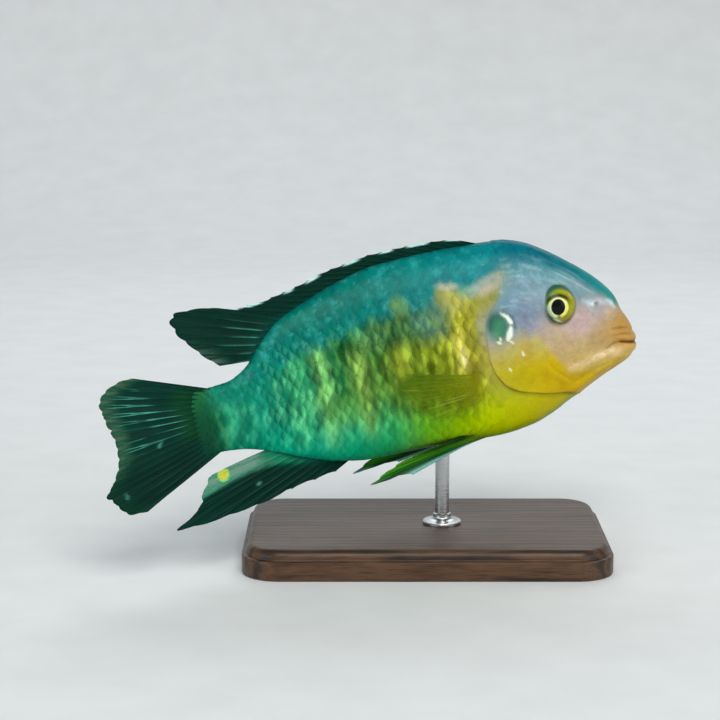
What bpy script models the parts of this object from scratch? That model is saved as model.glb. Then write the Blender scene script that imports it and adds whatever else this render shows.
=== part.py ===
"""A tropheops cichlid, life size, swimming with its snout up, held by one rod on a flat base.

Lengths are in millimetres and become metres as each mesh is made. A place on the fish is written as
(back, side, up): back from the snout along the spine, side to the fish's right, up from the snout's axis.
The function place() bends the spine and sets the fish in its pose over the stand.
"""

import math

import bmesh
import bpy
import numpy as np
from mathutils import Matrix, Vector
from mathutils.bvhtree import BVHTree

MM = 0.001
GAP, ROOT_GAP = 0.3, 0.4
SIDES = (("right", 1.0), ("left", -1.0))

# The body's stations: back from the snout, height of the back, of the belly, half width, and
# the level at which the body is widest. Ahead of the mouth's corner that level is the line of the mouth.
BODY_STATIONS = (
    (0.0, -0.1, -0.1, 0.0, -0.1),
    (0.3, 3.4, -1.9, 2.6, -0.1),
    (1.4, 7.4, -3.2, 4.3, 0.3),
    (2.9, 11.2, -4.3, 5.3, 0.8),
    (5.4, 14.9, -5.4, 6.2, 1.6),
    (9.0, 18.7, -6.8, 7.1, 2.4),
    (13.0, 22.1, -8.6, 7.8, 3.1),
    (18.0, 26.0, -11.2, 8.6, 4.0),
    (23.0, 29.0, -13.7, 9.2, 4.8),
    (28.0, 30.5, -15.3, 9.7, 5.4),
    (35.0, 31.0, -16.1, 10.0, 5.8),
    (47.0, 31.4, -15.2, 9.9, 6.2),
    (58.0, 31.2, -14.7, 9.1, 6.4),
    (68.0, 29.3, -14.2, 7.9, 6.4),
    (76.0, 27.0, -12.4, 6.6, 6.3),
    (84.0, 24.0, -9.2, 5.0, 6.2),
    (89.0, 20.2, -6.6, 4.1, 6.2),
    (94.0, 15.6, -4.3, 3.3, 6.2),
    (99.0, 14.0, -2.6, 2.6, 6.2),
    (105.0, 14.2, -1.7, 1.7, 6.3),
)
BODY_LENGTH = 105.0
STALK_START = 93.0
HEAD_BACK_POWER, TRUNK_BACK_POWER, BELLY_POWER = 0.9, 1.18, 0.86
POWER_FROM, POWER_TO = 20.0, 45.0

# The pose: the spine's heading turns from the head's to the tail's, then the fish pitches and rolls.
HEAD_YAW, TAIL_YAW = math.radians(7.0), math.radians(31.0)
BEND_FROM, BEND_TO = 32.0, 112.0
PITCH, ROLL = math.radians(11.0), math.radians(4.0)

# The gill opening, from the nape round the cover's rear edge to the throat: degrees round the body
# from the back, and distance back from the snout.
GILL_ANGLES = (0.0, 30.0, 56.0, 68.0, 78.0, 90.0, 100.0, 108.0, 116.0, 123.0, 137.0, 158.0, 180.0)
GILL_BACKS = (29.5, 29.6, 31.2, 34.6, 36.4, 36.6, 36.0, 34.4, 31.2, 26.0, 19.2, 16.2, 15.5)
PLATE_ANGLES = (57.0, 62.0, 70.0, 80.0, 90.0, 100.0, 110.0, 120.0, 128.0, 136.0)
PLATE_FRONTS = (30.6, 27.6, 25.6, 24.6, 24.1, 23.4, 21.8, 19.3, 18.2, 18.0)
PLATE_LIFT_FRONT, PLATE_LIFT_REAR, PLATE_DEPTH, PLATE_DEPTH_REAR = 0.1, 0.5, 0.9, 0.1
CUT_CENTRE_BACK, CUT_CENTRE_UP = 27.0, 6.0

EYE_BACK, EYE_UP = 18.4, 13.8
EYE_RADIUS, EYE_DEPTH, EYE_SUNK = 4.85, 3.2, 1.8
EYE_FORWARD_TURN, EYE_UP_TURN = math.radians(8.0), math.radians(12.0)
NOSTRIL_BACK, NOSTRIL_UP, NOSTRIL_RADIUS = 8.8, 11.6, 0.75

# The mouth: how far back it reaches and its slit. A lip or crease is its height, its level
# over the mouth's line and its width.
MOUTH_CORNER, LIP_FADE = 4.6, 7.0
UPPER_LIP, LOWER_LIP = (0.35, 1.2, 0.8), (0.5, -1.5, 1.0)
SLIT_DEPTH, SLIT_WIDTH = 1.0, 0.32
UPPER_CREASE, LOWER_CREASE = (-0.3, 2.8, 0.45), (-0.25, -3.2, 0.45)
JAW_START, JAW_END, JAW_RIDGE, JAW_WIDTH = (5.0, -1.6), (17.0, -7.2), 0.4, 1.0
CHEEK, CHEEK_RADIUS, CHEEK_BULGE = (16.5, 1.0), 6.0, 0.5
ORBIT_RADIUS, ORBIT_WIDTH, ORBIT_RIM = 5.7, 1.1, 0.35

MEMBRANE_HALF, RAY_ROOT_HALF, RAY_TIP_HALF = 0.26, 0.55, 0.3
RIDGE_FOOT, SPINE_SCALLOP = 0.3, 0.12

BASE_LENGTH, BASE_WIDTH, BASE_THICKNESS = 86.0, 54.0, 7.0
BASE_CORNER, BASE_BEVEL, BASE_SHIFT_BACK = 9.0, 1.2, 4.0
ROD_RADIUS, ROD_BACK, FOOT_RADIUS, FOOT_HEIGHT = 1.7, 50.0, 4.6, 1.4
TIP_CLEARANCE = 5.0


def smooth_through(stations, values):
    """A curve through hand-set stations that doesn't overshoot them."""
    xs, ys = np.asarray(stations, float), np.asarray(values, float)
    steps, rises = np.diff(xs), np.diff(ys)
    secants = rises / steps
    slopes = np.zeros_like(ys)
    slopes[0], slopes[-1] = secants[0], secants[-1]
    turning = secants[:-1] * secants[1:] <= 0
    before, after = steps[:-1], steps[1:]
    weights = (2 * after + before, after + 2 * before)
    safe = np.where(turning, 1.0, secants[:-1]), np.where(turning, 1.0, secants[1:])
    means = sum(weights) / (weights[0] / safe[0] + weights[1] / safe[1])
    slopes[1:-1] = np.where(turning, 0.0, means)

    def curve(x):
        x = np.clip(np.asarray(x, float), xs[0], xs[-1])
        i = np.clip(np.searchsorted(xs, x, side="right") - 1, 0, len(steps) - 1)
        step = steps[i]
        u = (x - xs[i]) / step
        start = (1 + 2 * u) * (1 - u) ** 2 * ys[i] + u * (1 - u) ** 2 * step * slopes[i]
        end = u * u * (3 - 2 * u) * ys[i + 1] + u * u * (u - 1) * step * slopes[i + 1]
        return start + end

    return curve


def smoothstep(low, high, x):
    u = np.clip((np.asarray(x, float) - low) / (high - low), 0.0, 1.0)
    return u * u * (3 - 2 * u)


def bump(distance, width):
    return np.exp(-((np.asarray(distance, float) / width) ** 2))


# Body curves run over the square root of the distance back, which rounds the blunt snout.
ROOTS = np.sqrt([row[0] for row in BODY_STATIONS])
BACK_CURVE, BELLY_CURVE, HALF_CURVE, MID_CURVE = (
    smooth_through(ROOTS, [row[i] for row in BODY_STATIONS]) for i in (1, 2, 3, 4)
)
GILL_EDGE = smooth_through(GILL_ANGLES, GILL_BACKS)
PLATE_FRONT = smooth_through(PLATE_ANGLES, PLATE_FRONTS)


def at_root(curve, back):
    return curve(np.sqrt(np.maximum(back, 0.0)))


def back_line(back):
    return at_root(BACK_CURVE, back)


def belly_line(back):
    return at_root(BELLY_CURVE, back)


def section_point(back, degrees):
    """(side, up) on the right flank at an angle round the body from the back, in degrees."""
    top, bottom, half, mid = (at_root(c, back) for c in (BACK_CURVE, BELLY_CURVE, HALF_CURVE, MID_CURVE))
    angle = np.radians(degrees)
    upper = np.cos(angle) >= 0
    head_to_trunk = smoothstep(POWER_FROM, POWER_TO, back)
    back_power = HEAD_BACK_POWER + (TRUNK_BACK_POWER - HEAD_BACK_POWER) * head_to_trunk
    power = np.where(upper, back_power, BELLY_POWER)
    side = half * np.maximum(np.sin(angle), 0.0) ** power
    reach = np.where(upper, top - mid, mid - bottom)
    return side, mid + reach * np.cos(angle)


def flank_side(back, up):
    """Half width of the body at a height."""
    top, bottom, mid = back_line(back), belly_line(back), at_root(MID_CURVE, back)
    reach = np.where(up >= mid, top - mid, mid - bottom)
    ratio = np.clip((up - mid) / np.maximum(reach, 1e-6), -0.999, 0.999)
    return section_point(back, np.degrees(np.arccos(ratio)))[0]


def off_flank(back, up, distance):
    """(side, up) at a distance straight out of the right flank, starting from a height on it."""
    step = 0.05
    slope = (flank_side(back, up + step) - flank_side(back, up - step)) / (2 * step)
    length = np.hypot(1.0, slope)
    return flank_side(back, up) + distance / length, up - distance * slope / length


SPINE_BACKS = np.linspace(-5.0, 150.0, 1551)
BEND = smoothstep(BEND_FROM, BEND_TO, SPINE_BACKS)
SPINE_YAW = HEAD_YAW + (TAIL_YAW - HEAD_YAW) * BEND


def run_of(slopes):
    """Distance covered along the spine, from zero at the snout."""
    steps = (slopes[1:] + slopes[:-1]) / 2 * np.diff(SPINE_BACKS)
    total = np.concatenate([[0.0], np.cumsum(steps)])
    return total - np.interp(0.0, SPINE_BACKS, total)


SPINE_X, SPINE_Y = -run_of(np.cos(SPINE_YAW)), -run_of(np.sin(SPINE_YAW))


def posed(back, side, up):
    """Millimetres from the snout, after the bend, the roll and the pitch."""
    back, side, up = np.broadcast_arrays(*(np.asarray(v, float) for v in (back, side, up)))
    yaw = np.interp(back, SPINE_BACKS, SPINE_YAW)
    x = np.interp(back, SPINE_BACKS, SPINE_X) + side * np.sin(yaw)
    y = np.interp(back, SPINE_BACKS, SPINE_Y) - side * np.cos(yaw)
    y, z = y * math.cos(ROLL) - up * math.sin(ROLL), y * math.sin(ROLL) + up * math.cos(ROLL)
    x, z = x * math.cos(PITCH) - z * math.sin(PITCH), x * math.sin(PITCH) + z * math.cos(PITCH)
    return np.stack([x, y, z], axis=-1)


# The tips that hang lowest are the anal fin's, whose outline sets how high the fish is held.
ANAL_TIP = (118.6, -15.6)
ROD_POINT = posed(ROD_BACK, 0.0, belly_line(ROD_BACK))
OFFSET = np.array(
    [-ROD_POINT[0], -ROD_POINT[1], BASE_THICKNESS + TIP_CLEARANCE - posed(ANAL_TIP[0], 0.0, ANAL_TIP[1])[2]]
)


def place(back, side, up):
    """A place on the fish in metres, in the stand's frame."""
    return (posed(back, side, up) + OFFSET) * MM


def clear_scene():
    for obj in list(bpy.data.objects):
        bpy.data.objects.remove(obj, do_unlink=True)


def material(name, colour, roughness, metallic=0.0):
    made = bpy.data.materials.new(name)
    made.use_nodes = True
    shader = made.node_tree.nodes["Principled BSDF"]
    shader.inputs["Base Color"].default_value = (*colour, 1.0)
    shader.inputs["Roughness"].default_value = roughness
    shader.inputs["Metallic"].default_value = metallic
    return made


def mesh_object(name, points, faces, look=None, helper=False):
    """A closed mesh object, its faces turned outwards."""
    mesh = bpy.data.meshes.new(name)
    mesh.from_pydata([tuple(p) for p in points], [], [tuple(f) for f in faces])
    work = bmesh.new()
    work.from_mesh(mesh)
    bmesh.ops.recalc_face_normals(work, faces=work.faces)
    work.to_mesh(mesh)
    work.free()
    mesh.shade_smooth()
    obj = bpy.data.objects.new(name, mesh)
    bpy.context.scene.collection.objects.link(obj)
    if look is not None:
        mesh.materials.append(look)
    if helper:
        obj.hide_render = True
        obj.display_type = "WIRE"
    return obj


def ring_faces(count, size):
    """Triangles between rings of points that follow one another."""
    faces = []
    for i in range(count - 1):
        for j in range(size):
            a, b = i * size + j, i * size + (j + 1) % size
            faces += [(a, b, b + size), (a, b + size, a + size)]
    return faces


def fan_faces(first, size, centre):
    return [(first + j, first + (j + 1) % size, centre) for j in range(size)]


# Angles round one flank, closest together at the line of the mouth.
HALF_STEPS = np.linspace(-1.0, 1.0, 29)
HALF_ANGLES = 90.0 + 90.0 * np.sign(HALF_STEPS) * np.abs(HALF_STEPS) ** 1.3
RING_ANGLES = np.concatenate([HALF_ANGLES, HALF_ANGLES[-2:0:-1]])
RING_SIDES = np.concatenate([np.ones(len(HALF_ANGLES)), -np.ones(len(HALF_ANGLES) - 2)])


def surface(back, degrees, hand, lift):
    """Body surface moved outwards by lift, in fish coordinates. hand is 1 on the right flank."""
    step_back, step_angle = 0.05, 0.5
    side, up = section_point(back, degrees)
    side_b, up_b = section_point(back + step_back, degrees)
    low, high = np.clip(degrees - step_angle, 0, 180), np.clip(degrees + step_angle, 0, 180)
    side_l, up_l = section_point(back, low)
    side_h, up_h = section_point(back, high)
    along = np.stack([np.full_like(side, step_back), side_b - side, up_b - up], -1)
    around = np.stack([np.zeros_like(side), side_h - side_l, up_h - up_l], -1)
    normal = np.cross(along, around)
    normal /= np.maximum(np.linalg.norm(normal, axis=-1, keepdims=True), 1e-9)
    point = np.stack([back, side, up], -1) + normal * np.asarray(lift)[..., None]
    point[..., 1] = np.where(degrees % 180.0 == 0.0, 0.0, np.maximum(point[..., 1], 0.0)) * hand
    return point


def segment_distance(back, up, start, end):
    start, end = np.array(start), np.array(end)
    run = end - start
    offset = np.stack([back - start[0], up - start[1]], -1)
    share = np.clip(offset @ run / (run @ run), 0.0, 1.0)
    return np.linalg.norm(offset - share[..., None] * run, axis=-1)


def face_relief(back, up):
    """How far lips, slit, creases, jaw, cheek and orbit rim stand out of the smooth head."""
    from_mouth = up - at_root(MID_CURVE, back)
    lips = 1 - smoothstep(MOUTH_CORNER - 1.0, LIP_FADE, back)
    slit = 1 - smoothstep(MOUTH_CORNER - 0.3, MOUTH_CORNER + 0.6, back)
    relief = -SLIT_DEPTH * slit * bump(from_mouth, SLIT_WIDTH)
    for height, level, width in (UPPER_LIP, LOWER_LIP, UPPER_CREASE, LOWER_CREASE):
        relief += height * lips * bump(from_mouth - level, width)
    relief += JAW_RIDGE * bump(segment_distance(back, up, JAW_START, JAW_END), JAW_WIDTH)
    relief += CHEEK_BULGE * bump(np.hypot(back - CHEEK[0], up - CHEEK[1]), CHEEK_RADIUS)
    relief += ORBIT_RIM * bump(np.hypot(back - EYE_BACK, up - EYE_UP) - ORBIT_RADIUS, ORBIT_WIDTH)
    return relief


def rings_to_world(rings):
    return place(rings[..., 0], rings[..., 1], rings[..., 2]).reshape(-1, 3)


def head_solid(look):
    ring_count, front_run = 31, 25.0
    reach = np.linspace(0.0, 1.0, ring_count)[1:, None] ** 2
    edge = GILL_EDGE(RING_ANGLES)[None, :]
    backs = reach * (front_run + (edge - front_run) * reach)
    angles = np.broadcast_to(RING_ANGLES, backs.shape)
    ups = section_point(backs, angles)[1]
    rings = surface(backs, angles, RING_SIDES, face_relief(backs, ups))
    tip = place(SLIT_DEPTH, 0.0, BODY_STATIONS[0][1])
    centre = place(CUT_CENTRE_BACK, 0.0, CUT_CENTRE_UP)
    size, count = len(RING_ANGLES), len(rings)
    points = np.vstack([rings_to_world(rings), tip, centre])
    faces = ring_faces(count, size) + fan_faces(0, size, count * size)
    faces += fan_faces((count - 1) * size, size, count * size + 1)
    return mesh_object("head", points, faces, look)


def widened_gill_edge(degrees, reach_degrees=2.4):
    """The opening's rear rim: at least a gap behind the head's edge all the way round."""
    shifts = np.linspace(-reach_degrees, reach_degrees, 9)
    edges = [GILL_EDGE(np.clip(degrees + s, 0.0, 180.0)) for s in shifts]
    return np.max(edges, axis=0) + GAP


def trunk_solid(look):
    ring_count, shoulder_dip, dip_run = 23, 0.35, 3.0
    share = np.linspace(0.0, 1.0, ring_count)[:, None]
    start = widened_gill_edge(RING_ANGLES)[None, :]
    backs = start + (STALK_START - GAP / 2 - start) * share
    angles = np.broadcast_to(RING_ANGLES, backs.shape)
    rings = surface(backs, angles, RING_SIDES, -shoulder_dip * np.exp((start - backs) / dip_run))
    front = place(CUT_CENTRE_BACK + 1.6 * GAP, 0.0, CUT_CENTRE_UP)
    rear = place(STALK_START - GAP / 2, 0.0, at_root(MID_CURVE, STALK_START))
    size, count = len(RING_ANGLES), ring_count
    points = np.vstack([rings_to_world(rings), front, rear])
    faces = ring_faces(count, size) + fan_faces(0, size, count * size)
    faces += fan_faces((count - 1) * size, size, count * size + 1)
    return mesh_object("trunk", points, faces, look)


def tail_stalk_solid(look):
    ring_count = 5
    share = np.linspace(0.0, 1.0, ring_count)[:, None]
    start = STALK_START + GAP / 2
    backs = np.broadcast_to(start + (BODY_LENGTH - start) * share, (ring_count, len(RING_ANGLES)))
    angles = np.broadcast_to(RING_ANGLES, backs.shape)
    rings = surface(backs, angles, RING_SIDES, np.zeros_like(backs))
    front = place(start, 0.0, at_root(MID_CURVE, start))
    rear = place(BODY_LENGTH, 0.0, at_root(MID_CURVE, BODY_LENGTH))
    size = len(RING_ANGLES)
    points = np.vstack([rings_to_world(rings), front, rear])
    faces = ring_faces(ring_count, size) + fan_faces(0, size, ring_count * size)
    faces += fan_faces((ring_count - 1) * size, size, ring_count * size + 1)
    return mesh_object("tail_stalk", points, faces, look)


def sheet_solid(name, outer, inner, look=None, helper=False):
    """Closes two grids of points, alike in their triangles, into one thin solid."""
    rows, columns = outer.shape[:2]
    count = rows * columns
    faces = []
    for i in range(rows - 1):
        for j in range(columns - 1):
            a = i * columns + j
            b, c, d = a + 1, a + columns + 1, a + columns
            faces += [(a, b, c), (a, c, d)]
            faces += [(count + a, count + c, count + b), (count + a, count + d, count + c)]
    rim = [j for j in range(columns)]
    rim += [i * columns + columns - 1 for i in range(1, rows)]
    rim += [(rows - 1) * columns + j for j in range(columns - 2, -1, -1)]
    rim += [i * columns for i in range(rows - 2, 0, -1)]
    for a, b in zip(rim, rim[1:] + rim[:1]):
        faces += [(a, b, count + b), (a, count + b, count + a)]
    points = np.vstack([outer.reshape(-1, 3), inner.reshape(-1, 3)])
    return mesh_object(name, points, faces, look, helper)


def gill_plate(name, hand, look=None, spread=0.0, above=0.0, overrun=0.0, helper=False):
    """One gill cover, or with spread, above and overrun the bed that is cut for it.

    Its rows lie at the angles of the body's rings, so that its edge follows the gill opening exactly.
    """
    columns, least_width, degrees_per_mm = 8, 0.8, 5.0
    inside = (HALF_ANGLES > PLATE_ANGLES[0]) & (HALF_ANGLES < PLATE_ANGLES[-1])
    angles = HALF_ANGLES[inside]
    if helper:
        spread_degrees = spread * degrees_per_mm
        angles = np.concatenate([[angles[0] - spread_degrees], angles, [angles[-1] + spread_degrees]])
    share = np.linspace(0.0, 1.0, columns)[None, :]
    front = PLATE_FRONT(angles)[:, None] - spread
    rear = GILL_EDGE(angles)[:, None] + overrun
    backs = front + np.maximum(rear - front, least_width) * share
    degrees = np.broadcast_to(angles[:, None], backs.shape)
    hands = np.full(backs.shape, hand)
    lift = PLATE_LIFT_FRONT + (PLATE_LIFT_REAR - PLATE_LIFT_FRONT) * share
    sink = PLATE_DEPTH + (PLATE_DEPTH_REAR - PLATE_DEPTH) * share + spread
    outer = surface(backs, degrees, hands, np.broadcast_to(lift + above, backs.shape))
    inner = surface(backs, degrees, hands, np.broadcast_to(-sink, backs.shape))
    grids = [place(g[..., 0], g[..., 1], g[..., 2]) for g in (outer, inner)]
    return sheet_solid(name, *grids, look, helper)


def eyeball(name, hand, look=None, grow=0.0, helper=False):
    """A flattened ball, its axis turned forwards and up from the flank."""
    side = (float(flank_side(EYE_BACK, EYE_UP)) - EYE_SUNK) * hand
    work = bmesh.new()
    bmesh.ops.create_uvsphere(work, u_segments=20, v_segments=12, radius=1.0)
    turn = Matrix.Rotation(EYE_FORWARD_TURN * hand, 4, "Z") @ Matrix.Rotation(-EYE_UP_TURN * hand, 4, "X")
    # The ball's own Z, its thin axis, points out of the flank: that is -Y, the fish's right.
    lay_down = Matrix.Rotation(math.radians(90.0) * hand, 4, "X")
    stretch = Matrix.Diagonal((EYE_RADIUS + grow, EYE_RADIUS + grow, EYE_DEPTH + grow, 1.0))
    work.transform(turn @ lay_down @ stretch)
    local = np.array([v.co for v in work.verts])
    faces = [[v.index for v in f.verts] for f in work.faces]
    work.free()
    points = place(EYE_BACK - local[:, 0], side - local[:, 1], EYE_UP + local[:, 2])
    return mesh_object(name, points, faces, look, helper)


def nostril_cut(name, hand):
    side = float(flank_side(NOSTRIL_BACK, NOSTRIL_UP)) * hand
    work = bmesh.new()
    bmesh.ops.create_uvsphere(work, u_segments=8, v_segments=6, radius=NOSTRIL_RADIUS)
    local = np.array([v.co for v in work.verts])
    faces = [[v.index for v in f.verts] for f in work.faces]
    work.free()
    points = place(NOSTRIL_BACK + local[:, 0], side + local[:, 1], NOSTRIL_UP + local[:, 2])
    return mesh_object(name, points, faces, helper=True)


def keep_largest(mesh):
    """Drops every closed surface of a mesh but the one with the most faces."""
    work = bmesh.new()
    work.from_mesh(mesh)
    unseen, groups = set(work.faces), []
    while unseen:
        group, edge = set(), [unseen.pop()]
        while edge:
            face = edge.pop()
            group.add(face)
            near = {f for e in face.edges for f in e.link_faces} & unseen
            unseen -= near
            edge.extend(near)
        groups.append(group)
    groups.sort(key=len, reverse=True)
    scraps = [f for group in groups[1:] for f in group]
    bmesh.ops.delete(work, geom=scraps, context="FACES")
    work.to_mesh(mesh)
    work.free()


def carve(target, cutters):
    """Cuts helper objects out of target and removes them."""
    for number, cutter in enumerate(cutters):
        cut = target.modifiers.new(f"cut_{number}", "BOOLEAN")
        cut.operation = "DIFFERENCE"
        cut.solver = "EXACT"
        cut.object = cutter
    graph = bpy.context.evaluated_depsgraph_get()
    graph.update()
    carved = bpy.data.meshes.new_from_object(target.evaluated_get(graph))
    target.modifiers.clear()
    target.data = carved
    keep_largest(carved)
    for cutter in cutters:
        bpy.data.objects.remove(cutter, do_unlink=True)


def fin_solid(name, roots, tips, look, rows=4, scallop=0.03, spine_count=0, to_world=place):
    """A fin whose rays run from roots to tips, as ridges on one membrane.

    roots and tips are (back, side, up) of each ray. Between rays the membrane's edge is drawn in by
    the share scallop of a ray's length.
    """
    last = len(roots) - 1
    places = (k + offset for k in range(last + 1) for offset in (-RIDGE_FOOT, 0.0, RIDGE_FOOT))
    marks = np.array(sorted({min(max(m, 0.0), float(last)) for m in places}))
    ray_numbers = np.arange(last + 1, dtype=float)
    along = np.linspace(0.0, 1.0, rows)[:, None]
    root = np.stack([np.interp(marks, ray_numbers, np.array(roots)[:, i]) for i in range(3)], -1)
    tip = np.stack([np.interp(marks, ray_numbers, np.array(tips)[:, i]) for i in range(3)], -1)
    off_ray = np.minimum(np.abs(marks - np.round(marks)) / RIDGE_FOOT, 1.0)
    depth = np.where(marks < spine_count, SPINE_SCALLOP, scallop)
    share = along * (1.0 - depth * off_ray)[None, :]
    middle = root[None] + (tip - root)[None] * share[..., None]
    on_ray = (1.0 - off_ray)[None, :]
    ray_half = RAY_ROOT_HALF + (RAY_TIP_HALF - RAY_ROOT_HALF) * along
    half = MEMBRANE_HALF + (ray_half - MEMBRANE_HALF) * on_ray
    world = to_world(middle[..., 0], middle[..., 1], middle[..., 2])
    across, down = np.gradient(world, axis=1), np.gradient(world, axis=0)
    normal = np.cross(across, down)
    normal /= np.linalg.norm(normal, axis=-1, keepdims=True)
    shift = normal * (half * MM)[..., None]
    return sheet_solid(name, world + shift, world - shift, look)


# Dorsal fin: folded spines along the back, then the soft rays' raised lobe.
DORSAL_SPINES, DORSAL_RAYS = 18, 9
DORSAL_START, LAST_SPINE_BACK, DORSAL_END = 31.5, 77.5, 91.5
FOLDED_HEIGHT = smooth_through(
    (31.0, 37.0, 42.0, 52.0, 61.0, 71.0, 77.0, 82.0, 86.5, 91.0),
    (0.5, 1.2, 1.9, 2.3, 2.6, 3.6, 4.1, 5.0, 7.2, 11.4),
)
DORSAL_LOBE = (
    (93.0, 29.4),
    (97.3, 31.0),
    (102.2, 32.2),
    (107.4, 32.7),
    (109.4, 30.9),
    (108.2, 27.6),
    (105.6, 24.3),
    (102.8, 20.9),
    (99.6, 17.9),
)


def dorsal_fin(look):
    spine_roots = np.linspace(DORSAL_START, LAST_SPINE_BACK, DORSAL_SPINES)
    ray_roots = np.linspace(LAST_SPINE_BACK + 1.9, DORSAL_END, DORSAL_RAYS)
    lean = np.linspace(6.0, 12.5, DORSAL_SPINES)
    tip_backs = spine_roots + lean
    tips = [(b, 0.0, float(back_line(b) + FOLDED_HEIGHT(b))) for b in tip_backs]
    tips += [(b, 0.0, u) for b, u in DORSAL_LOBE]
    roots = [(b, 0.0, float(back_line(b)) + ROOT_GAP) for b in [*spine_roots, *ray_roots]]
    return fin_solid("dorsal_fin", roots, tips, look, spine_count=DORSAL_SPINES)


# Anal fin: three spines, then soft rays. The fourth draws out the fin's point, and the last ones
# trail close under the tail's stalk.
ANAL_START, ANAL_END = 72.5, 91.5
ANAL_OUTLINE = (
    (77.0, -14.7),
    (82.5, -15.1),
    (88.5, -15.5),
    (95.5, -16.4),
    (102.0, -16.5),
    (110.0, -16.5),
    ANAL_TIP,
    (112.6, -12.8),
    (110.6, -9.6),
    (107.6, -6.2),
    (102.6, -5.4),
)


def anal_fin(look):
    root_backs = np.linspace(ANAL_START, ANAL_END, len(ANAL_OUTLINE))
    roots = [(b, 0.0, float(belly_line(b)) - GAP) for b in root_backs]
    tips = [(b, 0.0, u) for b, u in ANAL_OUTLINE]
    return fin_solid("anal_fin", roots, tips, look, spine_count=3)


# Tail fin: its rays fan out from the stalk's end to a ragged, slightly hollow edge.
TAIL_RAYS = 18
TAIL_OUTLINE = (
    (0.0, 121.0, 21.4),
    (0.07, 124.4, 21.7),
    (0.14, 128.4, 20.5),
    (0.22, 130.4, 18.2),
    (0.34, 129.6, 13.4),
    (0.46, 128.4, 8.6),
    (0.57, 128.5, 4.2),
    (0.68, 130.6, 0.3),
    (0.78, 133.8, -3.4),
    (0.85, 131.0, -5.2),
    (0.92, 130.2, -8.2),
    (1.0, 124.6, -9.0),
)


def tail_fin(look):
    shares = np.linspace(0.0, 1.0, TAIL_RAYS)
    marks = [row[0] for row in TAIL_OUTLINE]
    backs = np.interp(shares, marks, [row[1] for row in TAIL_OUTLINE])
    ups = np.interp(shares, marks, [row[2] for row in TAIL_OUTLINE])
    top, bottom = float(back_line(BODY_LENGTH)) - 0.5, float(belly_line(BODY_LENGTH)) + 0.5
    roots = [(BODY_LENGTH + GAP, 0.0, top + (bottom - top) * s) for s in shares]
    tips = list(zip(backs, np.zeros(TAIL_RAYS), ups))
    return fin_solid("tail_fin", roots, tips, look)


# Pectoral fins: a root behind the gill cover, and rays that fan back a little off the flank.
PECTORAL_RAYS = 14
PECTORAL_ROOT_TOP, PECTORAL_ROOT_BOTTOM = (38.0, 1.8), (38.6, -3.8)
PECTORAL_ANGLES = smooth_through((0.0, 0.5, 1.0), (13.0, -1.0, -24.0))
PECTORAL_LENGTHS = smooth_through((0.0, 0.22, 0.6, 1.0), (21.0, 24.2, 20.0, 9.5))
PECTORAL_STANDOFF = 3.0
PECTORAL_FLARE = 7.0


def pectoral_fin(name, hand, look):
    shares = np.linspace(0.0, 1.0, PECTORAL_RAYS)
    top, bottom = np.array(PECTORAL_ROOT_TOP), np.array(PECTORAL_ROOT_BOTTOM)
    starts = top + (bottom - top) * shares[:, None]
    headings = np.radians(PECTORAL_ANGLES(shares))
    lengths = PECTORAL_LENGTHS(shares)
    ends = starts + np.stack([np.cos(headings), np.sin(headings)], -1) * lengths[:, None]
    roots = [(b, 0.0, u) for b, u in starts]
    tips = [(b, 0.0, u) for b, u in ends]

    def off_the_flank(back, _, up):
        away = back - PECTORAL_ROOT_TOP[0]
        standoff = RAY_ROOT_HALF + GAP + PECTORAL_STANDOFF * smoothstep(0.0, PECTORAL_FLARE, away)
        return place(back, (flank_side(back, up) + standoff) * hand, up)

    return fin_solid(name, roots, tips, look, to_world=off_the_flank)


# Pelvic fins: the spine leads lowest, the first soft ray after it is the longest, and the
# inner rays lie closest to the belly.
PELVIC_ROOT_FRONT, PELVIC_ROOT_REAR = (40.4, -15.0), (43.6, -13.2)
PELVIC_TIPS = (
    (60.0, 6.4, -18.6),
    (71.0, 6.4, -18.4),
    (67.0, 6.5, -16.6),
    (62.5, 6.6, -15.2),
    (57.5, 6.8, -14.2),
    (52.5, 7.0, -13.6),
)


def pelvic_fin(name, hand, look):
    shares = np.linspace(0.0, 1.0, len(PELVIC_TIPS))
    root_backs = PELVIC_ROOT_FRONT[0] + (PELVIC_ROOT_REAR[0] - PELVIC_ROOT_FRONT[0]) * shares
    root_ups = PELVIC_ROOT_FRONT[1] + (PELVIC_ROOT_REAR[1] - PELVIC_ROOT_FRONT[1]) * shares
    root_sides, root_ups = off_flank(root_backs, root_ups, RAY_ROOT_HALF + GAP)
    roots = list(zip(root_backs, root_sides * hand, root_ups))
    tips = [(b, s * hand, u) for b, s, u in PELVIC_TIPS]
    return fin_solid(name, roots, tips, look, spine_count=1)


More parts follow.
